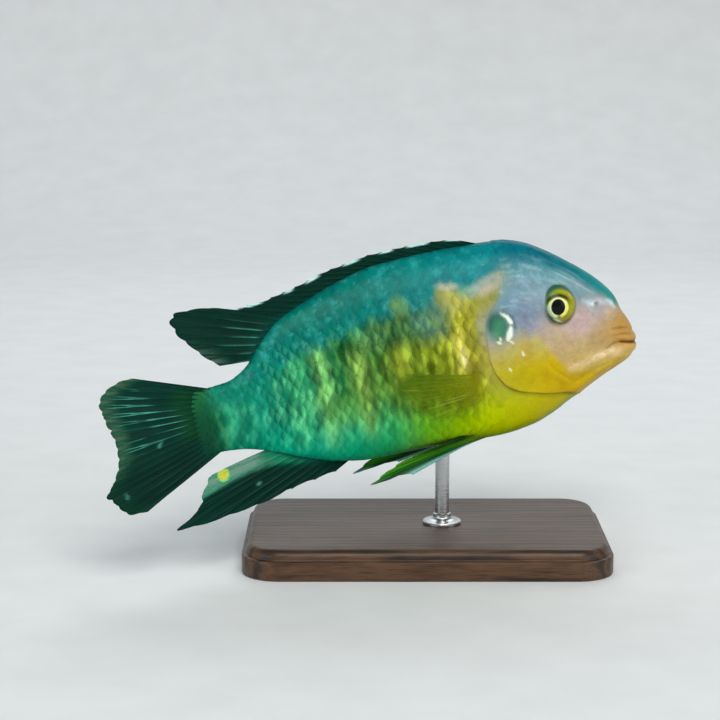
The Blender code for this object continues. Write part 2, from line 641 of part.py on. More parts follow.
def stand_base(look):
    """A flat plinth with round corners and a softened upper edge."""
    corner_steps = 6
    outline = []
    half_length, half_width = BASE_LENGTH / 2 - BASE_CORNER, BASE_WIDTH / 2 - BASE_CORNER
    for quarter, (sx, sy) in enumerate(((1, 1), (-1, 1), (-1, -1), (1, -1))):
        for step in range(corner_steps + 1):
            angle = math.radians(90.0 * (quarter + step / corner_steps))
            x = sx * half_length + BASE_CORNER * math.cos(angle)
            y = sy * half_width + BASE_CORNER * math.sin(angle)
            outline.append(((x - BASE_SHIFT_BACK) * MM, y * MM, 0.0))
    work = bmesh.new()
    floor = work.faces.new([work.verts.new(p) for p in outline])
    raised = bmesh.ops.extrude_face_region(work, geom=[floor])
    top = [v for v in raised["geom"] if isinstance(v, bmesh.types.BMVert)]
    bmesh.ops.translate(work, verts=top, vec=Vector((0.0, 0.0, BASE_THICKNESS * MM)))
    rim = [e for e in work.edges if all(v in top for v in e.verts)]
    bmesh.ops.bevel(work, geom=rim, offset=BASE_BEVEL * MM, segments=2, affect="EDGES", clamp_overlap=True)
    bmesh.ops.triangulate(work, faces=work.faces)
    work.verts.index_update()
    points = [tuple(v.co) for v in work.verts]
    faces = [[v.index for v in f.verts] for f in work.faces]
    work.free()
    return mesh_object("stand_base", points, faces, look)


def stand_rod(look, trunk):
    """A turned rod with a flat foot. Its top is cut to the belly, a gap below it."""
    sides = 20
    graph = bpy.context.evaluated_depsgraph_get()
    belly = BVHTree.FromObject(trunk, graph)

    def top_at(x, y):
        hit = belly.ray_cast(Vector((x, y, BASE_THICKNESS * MM)), Vector((0.0, 0.0, 1.0)))
        return hit[0].z - GAP * MM

    bottom = (BASE_THICKNESS + GAP) * MM
    foot_top = bottom + FOOT_HEIGHT * MM
    turned = ((FOOT_RADIUS, bottom), (FOOT_RADIUS, foot_top - 0.5 * MM), (FOOT_RADIUS - 0.6, foot_top))
    turned += ((ROD_RADIUS + 0.5, foot_top + 0.1 * MM), (ROD_RADIUS, foot_top + 0.9 * MM))
    points = []
    circle = [math.tau * k / sides for k in range(sides)]
    for radius, z in turned:
        points += [(radius * MM * math.cos(a), radius * MM * math.sin(a), z) for a in circle]
    for angle in circle:
        x, y = ROD_RADIUS * MM * math.cos(angle), ROD_RADIUS * MM * math.sin(angle)
        points.append((x, y, top_at(x, y)))
    rings = len(turned) + 1
    points += [(0.0, 0.0, bottom), (0.0, 0.0, top_at(0.0, 0.0))]
    faces = ring_faces(rings, sides) + fan_faces(0, sides, rings * sides)
    faces += fan_faces((rings - 1) * sides, sides, rings * sides + 1)
    return mesh_object("stand_rod", points, faces, look)


def build():
    clear_scene()
    head_skin = material("head_skin", (0.45, 0.42, 0.40), 0.35)
    cover_skin = material("cover_skin", (0.55, 0.45, 0.10), 0.35)
    flank_skin = material("flank_skin", (0.12, 0.34, 0.24), 0.38)
    stalk_skin = material("stalk_skin", (0.05, 0.30, 0.27), 0.38)
    dark_fin = material("dark_fin", (0.012, 0.05, 0.04), 0.45)
    clear_fin = material("clear_fin", (0.22, 0.30, 0.04), 0.40)
    iris = material("iris", (0.40, 0.42, 0.05), 0.12)
    stained_wood = material("stained_wood", (0.06, 0.035, 0.02), 0.45)
    steel = material("steel", (0.55, 0.56, 0.57), 0.28, metallic=1.0)

    head = head_solid(head_skin)
    cutters = []
    for label, hand in SIDES:
        cutters.append(eyeball(f"socket_{label}", hand, grow=GAP, helper=True))
        cutters.append(nostril_cut(f"nostril_{label}", hand))
        bed = gill_plate(f"gill_bed_{label}", hand, spread=GAP, above=2.0, overrun=1.5, helper=True)
        cutters.append(bed)
    carve(head, cutters)
    trunk = trunk_solid(flank_skin)
    beds = {"spread": GAP, "above": 2.0, "overrun": GAP, "helper": True}
    carve(trunk, [gill_plate(f"gill_rim_{label}", hand, **beds) for label, hand in SIDES])
    tail_stalk_solid(stalk_skin)
    dorsal_fin(dark_fin)
    anal_fin(dark_fin)
    tail_fin(dark_fin)
    for label, hand in SIDES:
        gill_plate(f"gill_cover_{label}", hand, cover_skin)
        eyeball(f"eye_{label}", hand, iris)
        pectoral_fin(f"pectoral_fin_{label}", hand, clear_fin)
        pelvic_fin(f"pelvic_fin_{label}", hand, clear_fin)
    stand_base(stained_wood)
    stand_rod(steel, trunk)


build()
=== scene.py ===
import math
from functools import partial

import bpy
import numpy as np
from mathutils import Matrix, Vector
from mathutils.bvhtree import BVHTree


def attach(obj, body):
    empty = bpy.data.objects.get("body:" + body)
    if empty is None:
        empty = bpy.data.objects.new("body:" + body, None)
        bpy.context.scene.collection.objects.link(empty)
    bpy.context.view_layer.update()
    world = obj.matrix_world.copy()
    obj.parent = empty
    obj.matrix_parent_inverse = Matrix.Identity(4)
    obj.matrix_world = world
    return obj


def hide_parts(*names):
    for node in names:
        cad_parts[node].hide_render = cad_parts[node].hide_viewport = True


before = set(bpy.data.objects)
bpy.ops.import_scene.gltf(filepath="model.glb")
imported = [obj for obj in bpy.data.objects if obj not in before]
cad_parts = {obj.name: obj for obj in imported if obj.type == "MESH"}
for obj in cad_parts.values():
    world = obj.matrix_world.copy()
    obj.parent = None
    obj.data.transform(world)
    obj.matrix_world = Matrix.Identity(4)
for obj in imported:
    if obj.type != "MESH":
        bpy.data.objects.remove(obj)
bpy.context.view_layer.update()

MM = 0.001
SIDES = (("right", 1.0), ("left", -1.0))

# The body's stations, as in the solids: back, height of the back, of the belly, half width, and
# the level at which the body is widest. The last one is the scaled sheath over the tail fin's root.
BODY_STATIONS = (
    (0.0, -0.1, -0.1, 0.0, -0.1),
    (0.3, 3.4, -1.9, 2.6, -0.1),
    (1.4, 7.4, -3.2, 4.3, 0.3),
    (2.9, 11.2, -4.3, 5.3, 0.8),
    (5.4, 14.9, -5.4, 6.2, 1.6),
    (9.0, 18.7, -6.8, 7.1, 2.4),
    (13.0, 22.1, -8.6, 7.8, 3.1),
    (18.0, 26.0, -11.2, 8.6, 4.0),
    (23.0, 29.0, -13.7, 9.2, 4.8),
    (28.0, 30.5, -15.3, 9.7, 5.4),
    (35.0, 31.0, -16.1, 10.0, 5.8),
    (47.0, 31.4, -15.2, 9.9, 6.2),
    (58.0, 31.2, -14.7, 9.1, 6.4),
    (68.0, 29.3, -14.2, 7.9, 6.4),
    (76.0, 27.0, -12.4, 6.6, 6.3),
    (84.0, 24.0, -9.2, 5.0, 6.2),
    (89.0, 20.2, -6.6, 4.1, 6.2),
    (94.0, 15.6, -4.3, 3.3, 6.2),
    (99.0, 14.0, -2.6, 2.6, 6.2),
    (105.0, 14.2, -1.7, 1.7, 6.3),
    (109.0, 15.4, -2.2, 0.3, 6.4),
)
BODY_LENGTH, SKIN_LENGTH = 105.0, 109.0
HEAD_BACK_POWER, TRUNK_BACK_POWER, BELLY_POWER = 0.9, 1.18, 0.86
POWER_FROM, POWER_TO = 20.0, 45.0
HEAD_YAW, TAIL_YAW = math.radians(7.0), math.radians(31.0)
BEND_FROM, BEND_TO = 32.0, 112.0
PITCH, ROLL = math.radians(11.0), math.radians(4.0)
GILL_ANGLES = (0.0, 30.0, 56.0, 68.0, 78.0, 90.0, 100.0, 108.0, 116.0, 123.0, 137.0, 158.0, 180.0)
GILL_BACKS = (29.5, 29.6, 31.2, 34.6, 36.4, 36.6, 36.0, 34.4, 31.2, 26.0, 19.2, 16.2, 15.5)
PLATE_ANGLES = (57.0, 62.0, 70.0, 80.0, 90.0, 100.0, 110.0, 120.0, 128.0, 136.0)
PLATE_FRONTS = (30.6, 27.6, 25.6, 24.6, 24.1, 23.4, 21.8, 19.3, 18.2, 18.0)
EYE_BACK, EYE_UP = 18.4, 13.8
EYE_RADIUS, EYE_DEPTH, EYE_SUNK = 4.85, 3.2, 1.8
EYE_FORWARD_TURN, EYE_UP_TURN = math.radians(8.0), math.radians(12.0)
NOSTRIL_BACK, NOSTRIL_UP, NOSTRIL_RADIUS = 8.8, 11.6, 0.6
MOUTH_CORNER, LIP_FADE = 4.6, 7.0
BASE_LENGTH, BASE_WIDTH, BASE_THICKNESS = 86.0, 54.0, 7.0
BASE_CORNER, BASE_SHIFT_BACK = 9.0, 4.0
ROD_RADIUS, ROD_BACK, FOOT_RADIUS = 1.7, 50.0, 4.6
TIP_CLEARANCE = 5.0
ANAL_TIP = (118.6, -15.6)

# How deep the skin lies under the solids' surface: bare on the face, under scales elsewhere.
FACE_DEPTH, COAT_DEPTH = 0.04, 0.30

# The photo's camera, 720 pixels square: where the snout shows and how far off the fish is.
FRAME_PX, SNOUT_PX, MM_PER_PX = 720.0, (634.0, 338.0), 0.2385
CAMERA_DISTANCE, CAMERA_ELEVATION, SENSOR = 500.0, math.radians(10.0), 36.0


def smooth_through(stations, values):
    """A curve through given stations that doesn't overshoot them."""
    xs, ys = np.asarray(stations, float), np.asarray(values, float)
    steps, rises = np.diff(xs), np.diff(ys)
    secants = rises / steps
    slopes = np.zeros_like(ys)
    slopes[0], slopes[-1] = secants[0], secants[-1]
    turning = secants[:-1] * secants[1:] <= 0
    before, after = steps[:-1], steps[1:]
    weights = (2 * after + before, after + 2 * before)
    safe = np.where(turning, 1.0, secants[:-1]), np.where(turning, 1.0, secants[1:])
    means = sum(weights) / (weights[0] / safe[0] + weights[1] / safe[1])
    slopes[1:-1] = np.where(turning, 0.0, means)

    def curve(x):
        x = np.clip(np.asarray(x, float), xs[0], xs[-1])
        i = np.clip(np.searchsorted(xs, x, side="right") - 1, 0, len(steps) - 1)
        step = steps[i]
        u = (x - xs[i]) / step
        start = (1 + 2 * u) * (1 - u) ** 2 * ys[i] + u * (1 - u) ** 2 * step * slopes[i]
        end = u * u * (3 - 2 * u) * ys[i + 1] + u * u * (u - 1) * step * slopes[i + 1]
        return start + end

    return curve


def smoothstep(low, high, x):
    u = np.clip((np.asarray(x, float) - low) / (high - low), 0.0, 1.0)
    return u * u * (3 - 2 * u)


def bump(distance, width):
    return np.exp(-((np.asarray(distance, float) / width) ** 2))


def band(x, low, high, soft):
    """1 between low and high, falling to 0 over soft on each side."""
    return smoothstep(low - soft, low + soft, x) * (1 - smoothstep(high - soft, high + soft, x))


def smooth_noise(x, y, seed):
    """Soft noise from -1 to 1 with features about 1 unit across."""
    cells = 64
    lattice = np.random.default_rng(seed).uniform(-1.0, 1.0, (cells, cells))
    xi, yi = np.floor(x).astype(int), np.floor(y).astype(int)
    u, v = x - xi, y - yi
    u, v = u * u * (3 - 2 * u), v * v * (3 - 2 * v)
    corner = [lattice[(xi + dx) % cells, (yi + dy) % cells] for dx in (0, 1) for dy in (0, 1)]
    return (corner[0] * (1 - v) + corner[1] * v) * (1 - u) + (corner[2] * (1 - v) + corner[3] * v) * u


def layered_noise(x, y, seed):
    """Soft noise in three layers, each twice as fine and half as strong as the last."""
    total = np.zeros(np.broadcast(x, y).shape)
    for octave in range(3):
        total = total + smooth_noise(x * 2**octave, y * 2**octave, seed + octave) / 2**octave
    return total / 1.75


ROOTS = np.sqrt([row[0] for row in BODY_STATIONS])
BACK_CURVE, BELLY_CURVE, HALF_CURVE, MID_CURVE = (
    smooth_through(ROOTS, [row[i] for row in BODY_STATIONS]) for i in (1, 2, 3, 4)
)
GILL_EDGE = smooth_through(GILL_ANGLES, GILL_BACKS)
PLATE_FRONT = smooth_through(PLATE_ANGLES, PLATE_FRONTS)


def at_root(curve, back):
    return curve(np.sqrt(np.maximum(back, 0.0)))


def back_line(back):
    return at_root(BACK_CURVE, back)


def belly_line(back):
    return at_root(BELLY_CURVE, back)


def mid_line(back):
    return at_root(MID_CURVE, back)


def section_point(back, degrees):
    """(side, up) on the right flank at an angle round the body from the back, in degrees."""
    top, bottom, half, mid = (at_root(c, back) for c in (BACK_CURVE, BELLY_CURVE, HALF_CURVE, MID_CURVE))
    angle = np.radians(degrees)
    upper = np.cos(angle) >= 0
    head_to_trunk = smoothstep(POWER_FROM, POWER_TO, back)
    back_power = HEAD_BACK_POWER + (TRUNK_BACK_POWER - HEAD_BACK_POWER) * head_to_trunk
    power = np.where(upper, back_power, BELLY_POWER)
    side = half * np.maximum(np.sin(angle), 0.0) ** power
    reach = np.where(upper, top - mid, mid - bottom)
    return side, mid + reach * np.cos(angle)


def angle_at(back, up):
    """The angle round the body at a height on the flank."""
    top, bottom, mid = back_line(back), belly_line(back), mid_line(back)
    reach = np.where(up >= mid, top - mid, mid - bottom)
    ratio = np.clip((up - mid) / np.maximum(reach, 1e-6), -0.999, 0.999)
    return np.degrees(np.arccos(ratio))


def flank_side(back, up):
    return section_point(back, angle_at(back, up))[0]


def off_flank(back, up, distance):
    """(side, up) at a distance straight out of the right flank, starting from a height on it."""
    step = 0.05
    slope = (flank_side(back, up + step) - flank_side(back, up - step)) / (2 * step)
    length = np.hypot(1.0, slope)
    return flank_side(back, up) + distance / length, up - distance * slope / length


SPINE_BACKS = np.linspace(-5.0, 150.0, 1551)
BEND = smoothstep(BEND_FROM, BEND_TO, SPINE_BACKS)
SPINE_YAW = HEAD_YAW + (TAIL_YAW - HEAD_YAW) * BEND


def run_of(slopes):
    """Distance covered along the spine, from zero at the snout."""
    steps = (slopes[1:] + slopes[:-1]) / 2 * np.diff(SPINE_BACKS)
    total = np.concatenate([[0.0], np.cumsum(steps)])
    return total - np.interp(0.0, SPINE_BACKS, total)


SPINE_X, SPINE_Y = -run_of(np.cos(SPINE_YAW)), -run_of(np.sin(SPINE_YAW))


def posed(back, side, up):
    """Millimetres from the snout, after the bend, the roll and the pitch."""
    back, side, up = np.broadcast_arrays(*(np.asarray(v, float) for v in (back, side, up)))
    yaw = np.interp(back, SPINE_BACKS, SPINE_YAW)
    x = np.interp(back, SPINE_BACKS, SPINE_X) + side * np.sin(yaw)
    y = np.interp(back, SPINE_BACKS, SPINE_Y) - side * np.cos(yaw)
    y, z = y * math.cos(ROLL) - up * math.sin(ROLL), y * math.sin(ROLL) + up * math.cos(ROLL)
    x, z = x * math.cos(PITCH) - z * math.sin(PITCH), x * math.sin(PITCH) + z * math.cos(PITCH)
    return np.stack([x, y, z], axis=-1)


ROD_POINT = posed(ROD_BACK, 0.0, belly_line(ROD_BACK))
OFFSET = np.array(
    [-ROD_POINT[0], -ROD_POINT[1], BASE_THICKNESS + TIP_CLEARANCE - posed(ANAL_TIP[0], 0.0, ANAL_TIP[1])[2]]
)


def place(back, side, up):
    """A place on the fish in metres, in the frame."""
    return (posed(back, side, up) + OFFSET) * MM


def place_points(points):
    return place(points[..., 0], points[..., 1], points[..., 2])


def surface(back, degrees, hand, lift):
    """Body surface moved outwards by lift, in fish coordinates. hand is 1 on the right flank."""
    step_back, step_angle = 0.05, 0.5
    side, up = section_point(back, degrees)
    side_b, up_b = section_point(back + step_back, degrees)
    low, high = np.clip(degrees - step_angle, 0, 180), np.clip(degrees + step_angle, 0, 180)
    side_l, up_l = section_point(back, low)
    side_h, up_h = section_point(back, high)
    along = np.stack([np.full_like(side, step_back), side_b - side, up_b - up], -1)
    around = np.stack([np.zeros_like(side), side_h - side_l, up_h - up_l], -1)
    normal = np.cross(along, around)
    normal /= np.maximum(np.linalg.norm(normal, axis=-1, keepdims=True), 1e-9)
    point = np.stack([back, side, up], -1) + normal * np.asarray(lift)[..., None]
    point[..., 1] = np.where(degrees % 180.0 == 0.0, 0.0, np.maximum(point[..., 1], 0.0)) * hand
    return point


# Colour

def srgb(red, green, blue):
    """A colour as it looks on a screen, 0 to 255, in linear light."""
    c = np.array([red, green, blue], float) / 255.0
    return np.where(c <= 0.04045, c / 12.92, ((c + 0.055) / 1.055) ** 2.4)


def ramp(x, stops):
    """Colours along x from (x, (red, green, blue)) stops."""
    places, colours = [at for at, _ in stops], np.array([srgb(*colour) for _, colour in stops])
    return np.stack([np.interp(x, places, column) for column in colours.T], -1)


def lay(canvas, *coats):
    """Paints (colour, mask) coats over the canvas in turn, each where its mask is 1.

    A colour is (red, green, blue) as on a screen, or an array of colours in linear light.
    """
    for colour, mask in coats:
        linear = srgb(*colour) if isinstance(colour, tuple) else colour
        canvas = canvas + (linear - canvas) * np.asarray(mask)[..., None]
    return canvas


def mottle(x, y, seed, low, high):
    """Soft-edged spots: 1 where noise is over high, 0 where it is under low."""
    return smoothstep(low, high, layered_noise(x, y, seed))


def oval(back, up, centre, radii, tilt=0.0):
    """How far out a place is on ovals round a centre: 1 on these radii. tilt is degrees, tail end up."""
    cosine, sine = math.cos(math.radians(tilt)), math.sin(math.radians(tilt))
    db, du = back - centre[0], up - centre[1]
    return np.hypot((db * cosine + du * sine) / radii[0], (du * cosine - db * sine) / radii[1])


def blob(back, up, centre, radii, tilt=0.0, hardness=1.0):
    """A soft patch: 1 at its centre, 0 well outside its radii."""
    soft = 0.6 / hardness
    return 1 - smoothstep(1 - soft, 1 + soft, oval(back, up, centre, radii, tilt))


def from_segment(back, up, start, end):
    """Where a place is nearest to a straight line, as a share along it, and the distance there."""
    first, run = np.array(start[:2]), np.array(end[:2]) - np.array(start[:2])
    offset = np.stack([back - first[0], up - first[1]], -1)
    share = np.clip(offset @ run / (run @ run), 0.0, 1.0)
    return share, np.linalg.norm(offset - share[..., None] * run, axis=-1)


def line_distance(back, up, points):
    """Distance to a line through given (back, up) points."""
    return np.min([from_segment(back, up, a, b)[1] for a, b in zip(points, points[1:])], axis=0)


def tapered(back, up, points, soft=0.18):
    """1 inside a line that runs through (back, up, radius) points, with soft edges."""
    reaches = []
    for start, end in zip(points, points[1:]):
        share, distance = from_segment(back, up, start, end)
        reaches.append(start[2] + (end[2] - start[2]) * share - distance)
    return smoothstep(-soft, soft, np.max(reaches, axis=0))


BACK_COLOURS = (
    (0, (0, 84, 104)),
    (20, (0, 112, 126)),
    (36, (4, 126, 130)),
    (48, (0, 124, 120)),
    (60, (0, 116, 106)),
    (74, (0, 112, 98)),
    (88, (0, 122, 104)),
    (100, (2, 126, 98)),
)
FLANK_COLOURS = (
    (34, (152, 152, 76)),
    (41, (158, 154, 34)),
    (48, (132, 148, 28)),
    (56, (106, 138, 30)),
    (63, (60, 116, 38)),
    (72, (8, 100, 48)),
    (82, (8, 134, 92)),
    (92, (0, 132, 106)),
    (102, (0, 132, 94)),
    (107, (4, 88, 58)),
)
BELLY_COLOURS = (
    (14, (196, 176, 0)),
    (28, (200, 192, 0)),
    (38, (188, 206, 0)),
    (46, (158, 204, 2)),
    (54, (112, 192, 34)),
    (62, (40, 172, 98)),
    (70, (14, 168, 116)),
    (80, (0, 174, 134)),
    (94, (0, 186, 146)),
    (103, (0, 118, 80)),
)
TAIL_ROOT_COLOURS = ((1.0, (2, 60, 44)), (8.0, (8, 78, 44)), (12.0, (26, 98, 52)))
BACK_EDGE = smooth_through(
    (20.0, 30.0, 35.0, 41.0, 45.0, 48.0, 56.0, 66.0, 74.0, 80.0, 86.0, 93.0, 108.0),
    (26.0, 24.2, 20.6, 22.0, 22.4, 20.4, 20.2, 19.0, 17.0, 16.6, 14.6, 10.5, 8.0),
)
# Pale bars down the flank: centre, half width, lowest, highest, colour, strength.
FLANK_BARS = (
    (43.0, 1.3, 3.0, 13.0, (218, 208, 96), 0.6),
    (57.8, 1.7, 4.0, 12.5, (170, 182, 52), 0.6),
    (68.0, 1.7, -7.5, 13.5, (138, 180, 80), 0.7),
    (67.2, 1.3, 17.5, 21.0, (40, 158, 120), 0.6),
    (77.4, 1.7, -8.0, 18.0, (112, 184, 100), 0.75),
    (83.6, 1.6, -6.5, 16.0, (66, 182, 122), 0.7),
    (93.2, 1.6, -1.0, 11.0, (18, 164, 132), 0.6),
    (99.8, 1.6, 0.5, 12.0, (50, 174, 134), 0.65),
)

# Pale patches on the shoulder, the last one a painted highlight: centre, radii, tilt, colour, strength.
SHOULDER_PATCHES = (
    ((42.6, 20.4), (3.4, 2.6), 20.0, (180, 178, 96), 0.85),
    ((38.4, 21.6), (2.2, 1.6), 0.0, (112, 176, 160), 0.6),
    ((32.8, 22.2), (5.0, 1.8), -14.0, (200, 188, 164), 0.8),
    ((43.0, 23.6), (2.6, 0.8), 10.0, (196, 194, 170), 0.7),
    ((55.4, 21.6), (2.2, 2.2), 0.0, (120, 160, 78), 0.65),
    ((48.6, 17.4), (4.6, 4.6), 0.0, (62, 118, 118), 0.6),
    ((39.6, 13.0), (2.4, 5.0), 0.0, (132, 136, 44), 0.5),
    ((36.6, 11.5), (1.4, 4.6), 0.0, (180, 172, 132), 0.65),
    ((35.6, 2.0), (2.2, 6.0), -8.0, (184, 172, 60), 0.6),
    ((72.5, 0.8), (4.2, 3.6), 0.0, (100, 180, 80), 0.6),
    # A painted highlight: a small pale upright streak on the yellow shoulder.
    ((42.6, 7.2), (0.5, 2.2), 0.0, (238, 234, 168), 0.85),
)


def paint_flank(back, up):
    """Trunk colours: teal back, yellow shoulder and belly, green to teal rear with pale bars, and painted
    shade along the belly's edge and the top of the back.
    """
    wander = layered_noise(back / 5.0, up / 5.0, 11)
    ragged = layered_noise(back / 1.6, up / 1.1, 23)
    grey_shoulder = band(back + 1.5 * ragged, 46.0, 68.0, 4.0) * band(up, 13.0, 23.0, 3.0)
    under = 1 - smoothstep(-8.0, 4.0, up + 1.5 * wander)
    canvas = ramp(back + 1.4 * wander, FLANK_COLOURS)
    canvas = lay(canvas, ((30, 92, 58), 0.85 * grey_shoulder), (ramp(back, BELLY_COLOURS), under))
    for centre, half, low, high, colour, strength in FLANK_BARS:
        reach = bump(back + 0.7 * wander - centre, half * 1.25) * band(up, low, high, 2.6)
        canvas = lay(canvas, (colour, strength * reach * (1 - 0.6 * under)))
    # Upright dashes, a scale or two high, pale ones over dark ones.
    tall = smooth_noise(back / 0.9 + 0.3 * wander, up / 3.4, 17)
    short = smooth_noise(back / 0.8, up / 1.7, 19)
    dashes = np.clip((tall + 0.5 * short) * 1.3, -1.0, 1.0)
    dashes = dashes * band(back, 38.5, 106.0, 3.0) * band(up, -6.5, 22.0, 4.0)
    dashes = dashes * (1 - 0.4 * smoothstep(78.0, 96.0, back))
    canvas = canvas * (0.95 + 0.5 * dashes[..., None])
    canvas = canvas + srgb(84, 90, 44) * 0.7 * np.maximum(dashes, 0.0)[..., None]
    # The teal back, with light and dark spots and finer speckles.
    upper = smoothstep(-1.6, 1.8, up - (BACK_EDGE(back) + 1.3 * ragged + 1.0 * wander))
    speckle = layered_noise(back / 0.9, up / 0.7, 39)
    teal = lay(
        ramp(back, BACK_COLOURS),
        ((48, 164, 160), 0.5 * mottle(back / 1.9, up / 1.3, 31, 0.1, 0.6)),
        ((0, 86, 92), 0.5 * mottle(back / 3.0, up / 1.6, 37, 0.1, 0.7)),
        ((84, 186, 182), 0.38 * smoothstep(0.25, 0.8, speckle)),
        ((0, 70, 84), 0.38 * smoothstep(0.25, 0.8, -speckle)),
    )
    canvas = lay(canvas, (teal, upper))
    for centre, radii, tilt, colour, strength in SHOULDER_PATCHES:
        mask = blob(back, up, centre, radii, tilt) * (0.8 + 0.45 * ragged)
        canvas = lay(canvas, (colour, np.clip(strength * mask, 0.0, 1.0)))
    # Painted shade: darker green along the belly's lower edge, fading out towards the rear.
    keel_shade = (1 - smoothstep(0.2, 3.4, up - belly_line(back))) * (1 - smoothstep(46.0, 62.0, back))
    # Painted shade: darker teal along the very top of the back.
    crest_shade = 1 - smoothstep(0.0, 0.8, back_line(back) - up)
    tail_root = smoothstep(101.0, 106.5, back + 0.9 * ragged)
    return lay(
        canvas,
        ((70, 132, 20), 0.7 * keel_shade),
        ((0, 70, 72), 0.5 * crest_shade),
        (ramp(up, TAIL_ROOT_COLOURS), 0.92 * tail_root),
    )


FACE_COLOURS = (
    (-3.0, (200, 172, 78)),
    (2.0, (188, 162, 106)),
    (6.0, (184, 162, 128)),
    (10.0, (180, 164, 150)),
    (14.0, (146, 156, 158)),
    (18.0, (138, 162, 168)),
    (23.0, (100, 158, 166)),
)
GOLD_EDGE = smooth_through(
    (6.0, 10.5, 15.0, 17.4, 18.6, 20.2, 22.0, 23.4, 25.0, 28.0, 34.0),
    (-3.4, -3.4, -3.2, -2.2, -0.9, 1.0, 3.8, 6.6, 8.6, 8.8, 7.4),
)
GOLD_COLOURS = (
    (8.0, (198, 166, 20)),
    (18.0, (202, 168, 0)),
    (24.0, (198, 172, 2)),
    (30.0, (186, 172, 10)),
    (35.0, (184, 170, 36)),
)
GOLD_HAZE = (184, 176, 112)
CROWN_COLOURS = (
    (0, (90, 118, 74)),
    (2.4, (60, 132, 112)),
    (4.0, (38, 144, 138)),
    (9.0, (22, 130, 134)),
    (14.0, (4, 112, 124)),
    (20.0, (0, 106, 122)),
    (30.0, (0, 110, 124)),
)
CROWN_WIDTH = smooth_through(
    (0.0, 2.0, 4.0, 6.0, 9.0, 12.0, 20.0, 36.0),
    (0.5, 1.2, 2.6, 3.3, 3.8, 3.4, 4.5, 7.1),
)
# Soft creases round the mouth and snout, painted dark as shade, as (back, up, half width).
CREASE_SHADES = (
    ((2.0, 4.0, 0.0), (3.8, 4.7, 0.2), (6.2, 5.0, 0.0)),
    ((1.6, 2.5, 0.0), (3.8, 3.2, 0.15), (6.2, 3.5, 0.0)),
    ((4.6, 1.5, 0.12), (6.4, 1.6, 0.14), (8.4, 0.7, 0.0)),
)
# The pale line of the jaw, as (back, up), and glints on jaw and snout, as (back, up, half width).
JAW_LINE = ((3.6, -0.8), (8.6, -0.4), (17.8, -1.4))
JAW_SHEEN = ((17.8, -1.4, 0.2), (13.4, -0.9, 0.5), (9.0, -0.2, 0.7), (6.2, 0.4, 0.2))
BROW_GLINT = ((12.0, 13.2, 0.2), (10.4, 12.3, 0.7), (7.6, 11.8, 0.5), (5.2, 10.8, 0.4))
NEAR_GLINT = ((10.9, 12.1, 0.2), (10.0, 11.9, 0.35), (8.8, 12.2, 0.1))
FAR_GLINT = ((5.9, 11.8, 0.1), (5.0, 10.9, 0.3), (4.3, 9.6, 0.15))


